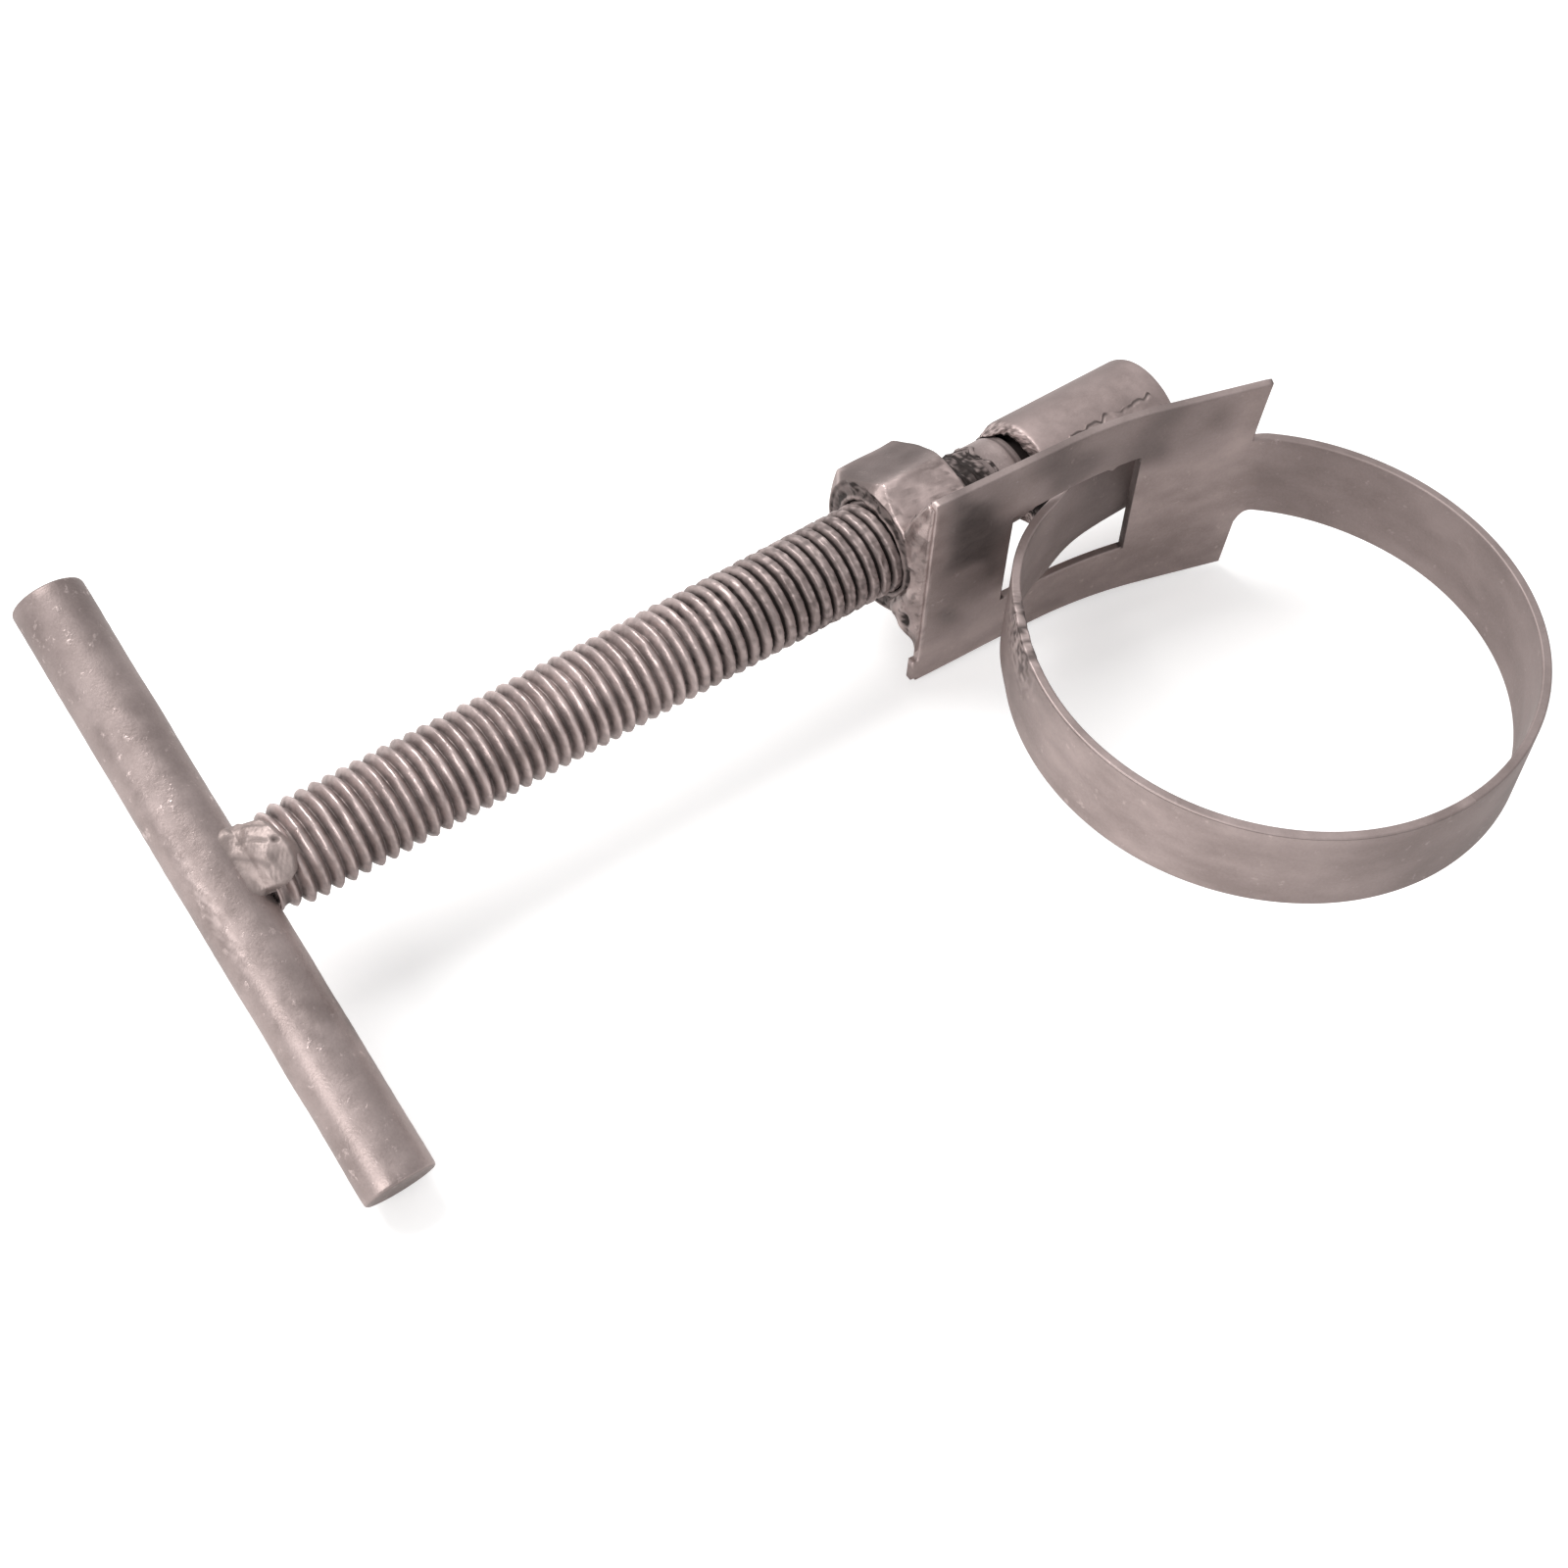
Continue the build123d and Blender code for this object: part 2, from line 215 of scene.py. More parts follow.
def new_piece(name, points, faces, finish, normals=None, marks=None):
    """Mesh object from points in mm and an array of faces. normals, where given, are the
    shading normals of the points, and marks are numbers per point for the finish to read."""
    used, index = np.unique(faces, return_inverse=True)
    faces = index.reshape(faces.shape)
    mesh = bpy.data.meshes.new(name)
    mesh.from_pydata((points[used] * mm).tolist(), [], faces.tolist())
    for key, values in (marks or {}).items():
        layer = mesh.attributes.new(key, "FLOAT", "POINT")
        layer.data.foreach_set("value", values[used].astype(np.float32))
    mesh.polygons.foreach_set("use_smooth", np.ones(len(mesh.polygons), bool))
    mesh.materials.append(finish)
    if normals is not None:
        shading = normals[used]
        shading = shading / np.linalg.norm(shading, axis=1)[:, None]
        mesh.normals_split_custom_set_from_vertices(shading.tolist())
    made = bpy.data.objects.new(name, mesh)
    scene.collection.objects.link(made)
    return made


def walk(start, heading, moves, step):
    """Centre line of bent sheet. Each move is (0, length), a straight run, or (radius,
    turn), an arc whose centre lies one radius to the left. Returns x, y and heading."""
    line = [np.array([[start[0], start[1], heading]])]
    x, y = start
    for radius, amount in moves:
        length = amount if radius == 0 else radius * np.radians(amount)
        t = np.linspace(0, 1, max(2, int(np.ceil(length / step)) + 1))[1:]
        if radius == 0:
            h = np.full_like(t, heading)
            xs = x + np.cos(np.radians(h)) * amount * t
            ys = y + np.sin(np.radians(h)) * amount * t
        else:
            h = heading + amount * t
            a = np.radians(heading - 90)
            b = np.radians(h - 90)
            xs = x + radius * (np.cos(b) - np.cos(a))
            ys = y + radius * (np.sin(b) - np.sin(a))
        line.append(np.stack([xs, ys, h], 1))
        x, y, heading = xs[-1], ys[-1], h[-1]
    return np.concatenate(line)


def sheet_shell(middle, normal, kept, joined_column=None):
    """Sheet metal from its middle surface, a grid of points with unit normals, of which
    kept says the cells that exist. Both faces lie half a thickness off the middle. At a
    free edge each face stops edge_round short of the outline, and a quarter circle turns
    it into the cut edge. The edge in joined_column stays open, where the next piece of
    the same sheet meets it. Returns points, faces, normals, and each point's grid point."""
    columns, rows = kept.shape
    ids = np.arange((columns + 1) * (rows + 1)).reshape(columns + 1, rows + 1)
    cells = np.stack([ids[:-1, :-1], ids[1:, :-1], ids[1:, 1:], ids[:-1, 1:]], -1)[kept]
    sides = np.stack([cells, np.roll(cells, -1, 1)], -1).reshape(-1, 2)
    _, which, uses = np.unique(np.sort(sides, 1), axis=0, return_inverse=True, return_counts=True)
    free = sides[uses[which.ravel()] == 1]
    if joined_column is not None:
        at_joint = np.isin(free, ids[joined_column]).all(1)
        free = free[~at_joint]
    p = middle.reshape(-1, 3)
    n = normal.reshape(-1, 3)
    along = p[free[:, 1]] - p[free[:, 0]]
    away = np.cross(along, n[free[:, 0]])
    away /= np.linalg.norm(away, axis=1)[:, None]
    total = np.zeros_like(p)
    count = np.zeros(len(p))
    for end in (0, 1):
        np.add.at(total, free[:, end], away)
        np.add.at(count, free[:, end], 1)
    rim = np.unique(free)
    mean = total[rim] / count[rim][:, None]
    out = mean / (mean ** 2).sum(1)[:, None]
    out_unit = mean / np.linalg.norm(mean, axis=1)[:, None]
    half = sheet / 2
    r = edge_round
    top = p + n * half
    low = p - n * half
    top[rim] -= out * r
    low[rim] -= out * r
    layers = [top, low]
    shading = [n, -n]
    turns = np.radians([30, 60, 90, 90, 60, 30])
    for k, a in enumerate(turns):
        up = 1 if k < 3 else -1
        layers.append(p[rim] - out * r * (1 - np.sin(a)) + up * n[rim] * (half - r * (1 - np.cos(a))))
        shading.append(up * n[rim] * np.cos(a) + out_unit * np.sin(a))
    total_points = len(p)
    place_in_rim = np.full(total_points, -1)
    place_in_rim[rim] = np.arange(len(rim))
    ring = [rim] + [2 * total_points + k * len(rim) + np.arange(len(rim)) for k in range(6)]
    ring.append(rim + total_points)
    a = place_in_rim[free[:, 0]]
    b = place_in_rim[free[:, 1]]
    strips = [np.stack([u[b], u[a], v[a], v[b]], 1) for u, v in zip(ring[:-1], ring[1:])]
    faces = np.concatenate([cells, cells[:, ::-1] + total_points] + strips)
    source = np.concatenate([np.arange(total_points)] * 2 + [rim] * 6)
    return np.concatenate(layers), faces, np.concatenate(shading), source


def zinc_finish(name, light, dark, grain=0.35, cloud=12.0, stretch=(1, 1, 1), rough=0.46,
                bump=0.06, spots=0.5, metal=0.75):
    """Dipped zinc on steel. Clouds over some millimetres and a finer mottle mix a light and
    a dark grey. Small thick spots are lighter and glossier. One mark darkens and dulls (soiling,
    painted shade), one brightens (wear, painted highlights). Grain and mottle raise a fine bump."""
    f = Finish(name)
    place = f.node("ShaderNodeTexCoord", out="Object")
    drawn = f.node("ShaderNodeMapping", None, {"Vector": place, "Scale": stretch})

    def noise(vector, size, detail=3.0, rough_share=0.55):
        return f.node("ShaderNodeTexNoise", None, {
            "Vector": vector, "Scale": 1 / (size * mm), "Detail": detail, "Roughness": rough_share})

    def blended(share, first, second):
        return f.node("ShaderNodeMix", {"data_type": "RGBA"}, {0: share, 6: first, 7: second}, 2)

    clouds = noise(drawn, cloud, 2.0)
    mottle = noise(drawn, 2.6, 4.0, 0.6)
    fine = noise(place, grain, 2.0)
    runs = noise(place, 1.5, 3.0, 0.7)
    grime_and_shade = f.node("ShaderNodeAttribute", {"attribute_name": "grime_and_shade"}, None, "Fac")
    wear_and_highlight = f.node("ShaderNodeAttribute", {"attribute_name": "wear_and_highlight"}, None, "Fac")
    tone = ((clouds - 0.5) * 2.2 + (mottle - 0.5) * 1.3 + (fine - 0.5) * 0.55 + 0.5).within()
    skin = blended(tone, (*dark, 1), (*light, 1))
    spot = ((runs - (0.66 - 0.05 * spots)) * 9.0).within() * spots
    pale = tuple(min(1.0, c * 1.35) for c in light)
    skin = blended(spot, skin, (*pale, 1))
    shine = (wear_and_highlight * (0.55 + mottle * 0.9)).within()
    skin = blended(shine, skin, (*pale, 1))
    dirt_and_shade = (grime_and_shade * (0.75 + mottle * 0.5)).within()
    skin = blended(dirt_and_shade, skin, (0.028, 0.02, 0.018, 1))
    dull = (rough + (mottle - 0.5) * 0.35 - spot * 0.14 - shine * 0.12 + dirt_and_shade * 0.3).within()
    height = fine * 0.35 + mottle * 0.9 + spot * 0.5
    relief = f.node("ShaderNodeBump", None, {"Strength": 0.6, "Distance": bump * mm, "Height": height})
    metallic = (metal - dirt_and_shade * 0.75 - shine * 0.35).within()
    surface = f.node("ShaderNodeBsdfPrincipled", None, {
        "Base Color": skin, "Roughness": dull, "Metallic": metallic, "Normal": relief,
        "Specular IOR Level": 0.3})
    return f.ends_in(surface)


sheet_zinc = zinc_finish("sheet_zinc", (0.49, 0.397, 0.379), (0.33, 0.263, 0.248),
                         cloud=11.0, stretch=(0.7, 0.7, 1.4))

# The sheared edge is where the strap widens into the plate, and leans by edge_lean on the
# way to each rim. The free end has a torn tab, tab_long past it.
edge_x = 16.738
edge_lean = 0.8
wing = plate_half - strap_half
window_left = -16.807
window_right = 1.293
fillet = 2.0
loop_r = 29.175
tab_long = 0.75
line_step = 0.1
right_moves = [(loop_r, 72.0), (31.725, 66.4), (6.0, 25.3), (0, 13.0), (57.0, 13.8), (0, 19.5),
               (0, tab_long)]
line = walk((0.0, -loop_r), 0.0, right_moves, line_step)
run = np.concatenate([[0], np.cumsum(np.hypot(*np.diff(line[:, :2], axis=0).T))])
free_end = run[-1] - tab_long
top_half = line[:, 2] > 100


def from_x(x):
    """Length along the band at which its upper stretch, the plate's, has this x."""
    return np.interp(-np.asarray(x), -line[top_half, 0], run[top_half])


def spread(stops, counts):
    """Numbers from stop to stop, each stretch divided evenly into its count."""
    parts = [np.linspace(a, b, c + 1)[:-1] for a, b, c in zip(stops[:-1], stops[1:], counts)]
    return np.concatenate(parts + [[stops[-1]]])


# Rows across the sheet: lower edge, torn tab, window's lower edge, strap, window's upper edge
hole_row = 7.6
row_stops = [-plate_half, -15.5, -12.1, -8.5, -7.9, -strap_half, strap_half, hole_row, plate_half]
row_counts = [1, 3, 3, 1, 2, 13, 2, 8]
rows = spread(row_stops, row_counts)
strap_low = sum(row_counts[:5])
strap_high = sum(row_counts[:6])
hole_low = sum(row_counts[:4])
hole_high = sum(row_counts[:7])
tab_low, tab_high = 1, 4

# Columns along the sheet: strap, sheared edge, window's right end and left end, free end, tab
column_counts = [110, 8, 26, 60, 18, 3]
strap_end = column_counts[0] + column_counts[1]
to_rim = np.clip((np.abs(rows) - strap_half) / wing, 0, 1) * edge_lean
edge_run = from_x(np.where(rows > 0, edge_x + to_rim - edge_lean / 2, edge_x - to_rim))
window_runs = [from_x(window_right), from_x(window_left)]
columns = np.array([
    spread([0, edge - 2.2, edge, *window_runs, free_end, run[-1]], column_counts)
    for edge in edge_run]).T
x = np.interp(columns, run, line[:, 0])
y = np.interp(columns, run, line[:, 1])
h = np.radians(np.interp(columns, run, line[:, 2]) - 90)
z = np.broadcast_to(rows, x.shape).copy()

# The window's upper edge rises from left to right, and the rows above the strap with it
window_top = 6.95 + 1.35 * np.clip((x - window_left) / (window_right - window_left), 0, 1)
above = rows > strap_half
up_to_hole = (rows[above] - strap_half) / (hole_row - strap_half)
down_to_hole = (plate_half - rows[above]) / (plate_half - hole_row)
z[:, above] = np.where(
    rows[above] <= hole_row,
    strap_half + up_to_hole * (window_top[:, above] - strap_half),
    plate_half - down_to_hole * (plate_half - window_top[:, above]))

# The fillet where strap and plate meet below: points in its square go out to the circle
fillet_run = from_x(edge_x) - fillet
in_square = np.zeros(x.shape, bool)
in_square[strap_end, :] = (z[strap_end] > -strap_half - fillet) & (z[strap_end] <= -strap_half)
in_square[:strap_end, strap_low] = columns[:strap_end, strap_low] > fillet_run
du = (columns - fillet_run)[in_square]
dz = (z + strap_half + fillet)[in_square]
scale = fillet / np.hypot(du, dz)
column_new = fillet_run + du * scale
x[in_square] = np.interp(column_new, run, line[:, 0])
y[in_square] = np.interp(column_new, run, line[:, 1])
z[in_square] = -strap_half - fillet + dz * scale

# Burrs hang from the window's upper edge near both its ends, each with a place, width and height
burrs = [(-2.4, 0.4, 0.5), (-15.3, 0.5, 0.7), (-14.2, 0.3, 0.3)]
burr = sum(tall * np.exp(-((x - burr_x) / wide) ** 2) for burr_x, wide, tall in burrs)
above_window = np.exp(-(rows[None, :] - hole_row) / 0.6) * (rows[None, :] >= hole_row)
z = z - burr * above_window

kept = np.ones((x.shape[0] - 1, x.shape[1] - 1), bool)
kept[:strap_end, :strap_low] = False
kept[:strap_end, strap_high:] = False
hole_start = sum(column_counts[:3])
hole_end = sum(column_counts[:4])
kept[hole_start:hole_end, hole_low:hole_high] = False
tab_start = sum(column_counts[:5])
kept[tab_start:, :tab_low] = False
kept[tab_start:, tab_high:] = False

middle = np.stack([x, y, z], -1)
normal = np.stack([np.cos(h), np.sin(h), 0 * h], -1)
sway = smooth_step(columns, 20, 60)
middle += normal * (unevenness(middle, 24, 3) * 0.12 * sway)[..., None]
points, faces, shading, source = sheet_shell(middle, normal, kept, joined_column=0)

# Darkening: a veil on the strap, the plate darker along its upper rim, painted shade left of the
# window standing for a reflection of the shaded floor, and the window's cut sides dark. A painted
# highlight brightens the plate's cut end in places.
px, pz = points[:, 0], points[:, 2]
on_plate = smooth_step(source // len(rows), strap_end - 12, strap_end + 4)
veil = 0.3 * (1 - on_plate)
dusk = 0.48 * smooth_step(pz, 4, 9) * smooth_step(px, -20, -12) * (1 - smooth_step(px, 8, 15))
left_shade_reflection = 0.72 * np.exp(-((px + 22.5) / 5.0) ** 4) * smooth_step(pz, -13, -3)
cloudy = smooth_step(unevenness(points, 9.0, 15), -0.6, 0.5)
grime_and_shade = veil + on_plate * (dusk + left_shade_reflection) * (0.55 + 0.6 * cloudy)
# Painted highlight: the plate's cut end brightened in places
cut_end = (px < -28.75) & (pz > -12.2)
wear_and_highlight = 0.45 * cut_end * smooth_step(unevenness(points, 1.2, 16), -0.5, 0.4)
on_rim = (np.arange(len(points)) >= 2 * x.size) & (np.abs(pz) < 8.3) & (on_plate > 0.9)
window_cut = on_rim & ((np.abs(px - window_right) < 0.4) | (np.abs(px - window_left) < 0.4))
grime_and_shade = np.where(window_cut, 0.85, np.where(cut_end, 0.05, grime_and_shade))
plate = new_piece("plate_and_strap", points, faces, sheet_zinc, shading, {"grime_and_shade": grime_and_shade, "wear_and_highlight": wear_and_highlight})
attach(plate, "band")
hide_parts("clamp_band")


# The other half of the loop runs up to the window, bends through it and ends cupped round
# the sleeve. It takes its hollow within the bend and reaches the sleeve's curve beyond the
# window. Where it came through the window its near rim is torn rough.
tail_y = 31.889
tail_end = 11.493
flat_start = -6.002
flat_run = tail_end - flat_start
left_moves = [(0, flat_run), (21.26, 60.1), (0, 3.458), (31.945, 86.2), (loop_r, 33.7)]
line = walk((tail_end, tail_y), 180.0, left_moves, line_step)
run = np.concatenate([[0], np.cumsum(np.hypot(*np.diff(line[:, :2], axis=0).T))])
along = spread([0, flat_run - 6, flat_run + 5, flat_run + 24, run[-1]], [22, 40, 80, 130])
across = np.concatenate([[-strap_half, -6.3], np.linspace(-6.0, 6.0, 17), [6.3, strap_half]])
x = np.interp(along, run, line[:, 0])[:, None]
y = np.interp(along, run, line[:, 1])[:, None]
h = np.radians(np.interp(along, run, line[:, 2]) - 90)[:, None]

# How curved the strip is across, per mm, by the distance past the bend's start, smoothed
knots = np.array([-12.0, -7.0, -4.0, -2.0, 0.0, 2.3, 4.6])
hollow = np.array([0.116, 0.107, 0.097, 0.083, 0.061, 0.027, 0.0])
bend = np.interp(along - flat_run, knots, hollow)
bend = np.maximum(1e-6, np.convolve(np.pad(bend, 4, "edge"), np.ones(9) / 9, "valid"))[:, None]
rise = (1 - np.cos(bend * across)) / bend
middle = np.stack([
    x + np.cos(h) * rise, y + np.sin(h) * rise, np.sin(bend * across) / bend + 0 * h], -1)
normal = np.stack([
    np.cos(h) * np.cos(bend * across), np.sin(h) * np.cos(bend * across),
    -np.sin(bend * across) + 0 * h], -1)

# The torn stretch of the upper rim, with its middle at torn_at past the bend's start
torn_at = 26.5
torn = np.exp(-((along - flat_run - torn_at) / 5.2) ** 4)[:, None] * smooth_step(across, 4.2, 6.0)
rough = unevenness(middle, 1.5, 7) * 0.16 + unevenness(middle, 0.6, 8) * 0.09
middle[..., 2] += torn * rough
middle += normal * (torn * rough)[..., None] * 0.6
kept = np.ones((len(along) - 1, len(across) - 1), bool)
points, faces, shading, source = sheet_shell(middle, normal, kept, joined_column=len(along) - 1)
out_along = along[source // len(across)] - flat_run
out_across = across[source % len(across)]
rubbed = np.exp(-((out_along - torn_at) / 5.6) ** 4) * smooth_step(out_across, -2.0, 4.5)
scuffs = unevenness(points * np.array([1.0, 0.5, 1.0]), 0.9, 9) + unevenness(points, 0.5, 10)
on_rim = np.arange(len(points)) >= 2 * middle[..., 0].size
# Painted highlight along the upper rim from the tail's end through the bend
rim_highlight = on_rim * (1 - smooth_step(out_along, 16, 24)) * smooth_step(out_across, 0, 1)
inner_face = np.arange(len(points)) // middle[..., 0].size == 1
# Darker far round the loop and a little over the tail and bend, and painted shade on the inner face of
# the tail's flat stretch, under the window's end
veil = 0.3 * smooth_step(out_along, 50, 95)
veil += 0.14 * (1 - smooth_step(out_along, 20, 45))
veil += inner_face * (0.38 * (1 - smooth_step(out_along, -4, 8)) + 0.05)
grime_and_shade = np.where(on_rim, 0.1, veil) + rubbed * (0.2 + 0.6 * smooth_step(scuffs, 0.0, 0.5))
wear_and_highlight = 0.8 * rubbed * smooth_step(-scuffs, 0.1, 0.5) + 0.3 * rim_highlight
strap = new_piece("strap_and_tail", points, faces, sheet_zinc, shading, {"grime_and_shade": grime_and_shade, "wear_and_highlight": wear_and_highlight})
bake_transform(strap)
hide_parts("clamp_band")


# The nut: a hexagon of steel, 18 mm across its flats, chamfered at both ends, which sits
# with one flat on the plate's back. Its corners are worn round, and its face is dark in rings
# where the thread goes in, the innermost painted shade of the gap round the thread.
nut_y = 42.114
nut_front = -29.607
nut_length = 10.4
nut_across = 18.0
nut_round = 240
chamfer_r = 8.75
chamfer_slope = np.tan(np.radians(30))


def ring_piece(name, x, r, centre_y, finish, marks=None, closed=False, lift=None):
    """Surface round an axis along X: x and r are grids of path point by angle, the path
    going the way that keeps the solid on the side of the axis. closed joins the path's
    end to its start, and a radius of 0 at an end closes it with a pole."""
    steps, around = r.shape
    angle = np.linspace(0, 2 * np.pi, around, endpoint=False)
    points = np.stack([
        np.broadcast_to(x, r.shape), centre_y + r * np.cos(angle), r * np.sin(angle)], -1)
    if lift is not None:
        points = lift(points)
    ids = np.arange(steps * around).reshape(steps, around)
    nxt = np.roll(ids, -1, 1)
    last = ids.shape[0] if closed else -1
    a, b = ids[:last], np.roll(ids, -1, 0)[:last]
    c, d = nxt[:last], np.roll(nxt, -1, 0)[:last]
    faces = np.stack([a, c, d, b], -1).reshape(-1, 4)
    flat = {k: np.broadcast_to(v, r.shape).ravel() for k, v in (marks or {}).items()}
    return new_piece(name, points.reshape(-1, 3), faces, finish, marks=flat)


def close_poles(piece, gap=1e-7, outward=False):
    """Merges the points that meet at a pole, gap metres apart at most, and drops the faces
    without area. outward turns all faces to the outside."""
    work = bmesh.new()
    work.from_mesh(piece.data)
    bmesh.ops.remove_doubles(work, verts=work.verts, dist=gap)
    bmesh.ops.dissolve_degenerate(work, edges=work.edges, dist=gap / 10)
    if outward:
        bmesh.ops.recalc_face_normals(work, faces=work.faces)
    work.to_mesh(piece.data)
    work.free()
    piece.data.polygons.foreach_set("use_smooth", np.ones(len(piece.data.polygons), bool))


def least(values, softness):
    """Smooth minimum: -s log(sum(exp(-v / s)))."""
    return -softness * np.log(sum(np.exp(-v / softness) for v in values))


# Its radius by angle and depth is the least of six flats and of the two chamfers' cones
angle = np.linspace(0, 2 * np.pi, nut_round, endpoint=False)
facing = [np.cos(angle - np.radians(60 * k + 180)) for k in range(6)]
hexagon = least([nut_across / 2 / np.maximum(0.2, toward) for toward in facing], 0.10)
rim_depth = np.array([0, 0.06, 0.14, 0.26, 0.4, 0.55, 0.72, 0.9, 1.1, 1.35])
depth = np.concatenate([rim_depth, np.linspace(1.8, 8.6, 9), (nut_length - rim_depth)[::-1]])
chamfer = chamfer_r + depth[:, None] / chamfer_slope
chamfer_back = chamfer_r + (nut_length - depth[:, None]) / chamfer_slope
side_r = least([hexagon + 0 * chamfer, chamfer + 0 * hexagon, chamfer_back + 0 * hexagon], 0.09)

# Its face from the bore out to the rim: radius, and height off the face as x
face_r = np.array([6.04, 6.05, 6.1, 6.3, 6.6, 6.9, 7.2, 7.6, 8.0, 8.35, 8.6])
face_x = np.array([0.9, 0.5, 0.2, 0.0, -0.05, 0.1, 0.2, 0.15, 0.08, 0.12, 0.02])
face_rings = np.repeat(face_r[:, None], nut_round, 1)
nut_r = np.concatenate([face_rings, side_r, face_rings[::-1]])
nut_x = nut_front + np.concatenate([face_x, depth, nut_length - face_x[::-1]])
nut_zinc = zinc_finish("nut_zinc", (0.46, 0.369, 0.351), (0.27, 0.213, 0.201), cloud=6.0, grain=0.3,
                       bump=0.14, spots=0.7, rough=0.42)

# Marks by place: painted shade in the gap round the thread, dark rings round the hole and behind
# the chamfer's rim, painted shade dulling the upper flat, painted light on the pitted flat beside
# it, and painted highlights on the ridge between the two at the front, on one corner and in an arc round
# the hole
flat_deg = np.degrees(angle)[None, :]
spot_place = np.stack([nut_x[:, None] + 0 * nut_r, nut_r * np.cos(angle), nut_r * np.sin(angle)], -1)
from_front = nut_x[:, None] - nut_front
on_face = np.zeros(nut_r.shape, bool)
on_face[:len(face_r)] = on_face[-len(face_r):] = True
ring_dirt = np.interp(nut_r, [6.05, 6.2, 6.35, 6.7, 6.9, 7.4, 8.0, 8.4, 8.6],
                      [1.0, 0.8, 0.1, 0.1, 0.75, 0.6, 0.4, 0.7, 0.4])
patch = smooth_step(unevenness(spot_place, 2.6, 12) + 0.7 * unevenness(spot_place, 1.2, 15), -0.2, 0.6)
fleck = smooth_step(unevenness(spot_place, 1.5, 13) + unevenness(spot_place, 0.7, 16), 0.45, 0.95)
ring_dirt = ring_dirt * (0.85 + 0.5 * patch) + 0.3 * fleck
upper = np.exp(-((flat_deg - 57) / 26) ** 6)
beside = np.exp(-((flat_deg - 121) / 29) ** 6)
ridge = np.exp(-((flat_deg - 90) / 3.2) ** 2) * (1 - smooth_step(from_front, 2.0, 4.5))
corner_spot = np.exp(-((flat_deg - 33) / 3.5) ** 2) * (1 - smooth_step(from_front, 0.8, 1.8))
bright_ring = (np.exp(-((nut_r - 6.5) / 0.2) ** 2) * (0.3 + 0.6 * patch)
               * np.exp(-((flat_deg - 105) / 45) ** 4))
bright_side = (beside * (0.5 + 0.5 * patch) * (1 - 0.6 * fleck)
               + 1.5 * ridge * (0.4 + fleck + 0.4 * patch))
grime_and_shade = np.where(on_face, ring_dirt + 0.13, 0.58 * upper + beside * 0.35 * fleck * patch + 0.05)
wear_and_highlight = np.where(on_face, bright_ring, bright_side + corner_spot)


def worn(points):
    """Pushes points of the sides in or out from the nut's axis by a small random height,
    and points of the faces along it."""
    spoke = points - np.array([0, nut_y, 0])
    spoke[..., 0] = 0
    spoke /= np.maximum(1e-6, np.linalg.norm(spoke, axis=-1))[..., None]
    moved = points + spoke * (unevenness(points, 3.5, 11) * 0.05 * (nut_r > 8.5))[..., None]
    moved[..., 0] += unevenness(points, 1.7, 14) * 0.1 * on_face
    return moved


nut = ring_piece("nut", nut_x[:, None], nut_r, nut_y, nut_zinc,
                 {"grime_and_shade": grime_and_shade, "wear_and_highlight": wear_and_highlight}, closed=True, lift=worn)
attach(nut, "band")
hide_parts("hex_nut")


# The weld that holds the nut: weld metal run down the step between the nut's face and the
# plate's cut end, swollen above, thin at the middle, and below stretched into a web from
# the nut's lower flat to the plate. It is burnt through at one pit and spattered beside it.
bead_steel = zinc_finish("bead_steel", (0.46, 0.369, 0.351), (0.25, 0.194, 0.182), cloud=2.5,
                         grain=0.25, bump=0.12, spots=0.7, rough=0.36)


def closed_tube(name, points, finish, marks):
    """Skin over a grid of points, rings by points round a ring, with a fan at each end."""
    rings, waists = points.shape[:2]
    ids = np.arange(rings * waists).reshape(rings, waists)
    nxt = np.roll(ids, -1, 1)
    faces = np.stack([ids[:-1], nxt[:-1], nxt[1:], ids[1:]], -1).reshape(-1, 4)
    first, last = rings * waists, rings * waists + 1
    every = np.concatenate([points.reshape(-1, 3), points[[0, -1]].mean(1)])
    fans = np.concatenate([
        np.stack([ids[0], np.full(waists, first), np.full(waists, first), nxt[0]], -1),
        np.stack([nxt[-1], np.full(waists, last), np.full(waists, last), ids[-1]], -1)])
    marks = {key: np.concatenate([value.ravel(), [0, 0]]) for key, value in marks.items()}
    made = new_piece(name, every, np.concatenate([faces, fans]), finish, marks=marks)
    close_poles(made, gap=1e-8, outward=True)
    return made


# From top to bottom: y and z of the rim on the nut, z of the rim on the plate, and the swell
rims = np.array([
    (33.3, 15.6, 15.3, 0.2), (34.3, 13.9, 13.9, 0.5), (35.2, 12.4, 12.4, 0.8), (36.1, 10.4, 10.8, 1.05),
    (36.9, 8.4, 8.8, 1.15), (36.4, 6.6, 7.0, 1.05), (35.4, 5.2, 5.2, 0.85), (34.6, 3.6, 3.4, 0.75),
    (34.3, 1.8, 1.6, 0.7), (34.6, 0.0, 0.0, 0.7), (35.6, -1.9, -1.8, 0.8), (37.0, -4.2, -3.8, 0.85),
    (38.0, -6.0, -5.6, 0.75), (37.0, -7.3, -7.2, 0.65), (35.2, -8.4, -8.4, 0.6), (33.9, -9.1, -9.4, 0.5),
    (33.2, -9.9, -10.3, 0.2)])
plate_rim_y = 32.2
plate_end_x = -28.9
buried_x = -26.7
s = np.linspace(0, len(rims) - 1, 150)
y_nut, z_nut, z_plate, tall = [np.interp(s, np.arange(len(rims)), column) for column in rims.T]
t = np.linspace(0, 1, 34)[None, :]
y = y_nut[:, None] + (plate_rim_y - y_nut[:, None]) * t
z = z_nut[:, None] + (z_plate - z_nut)[:, None] * t
far_out = np.hypot(y - nut_y, z)
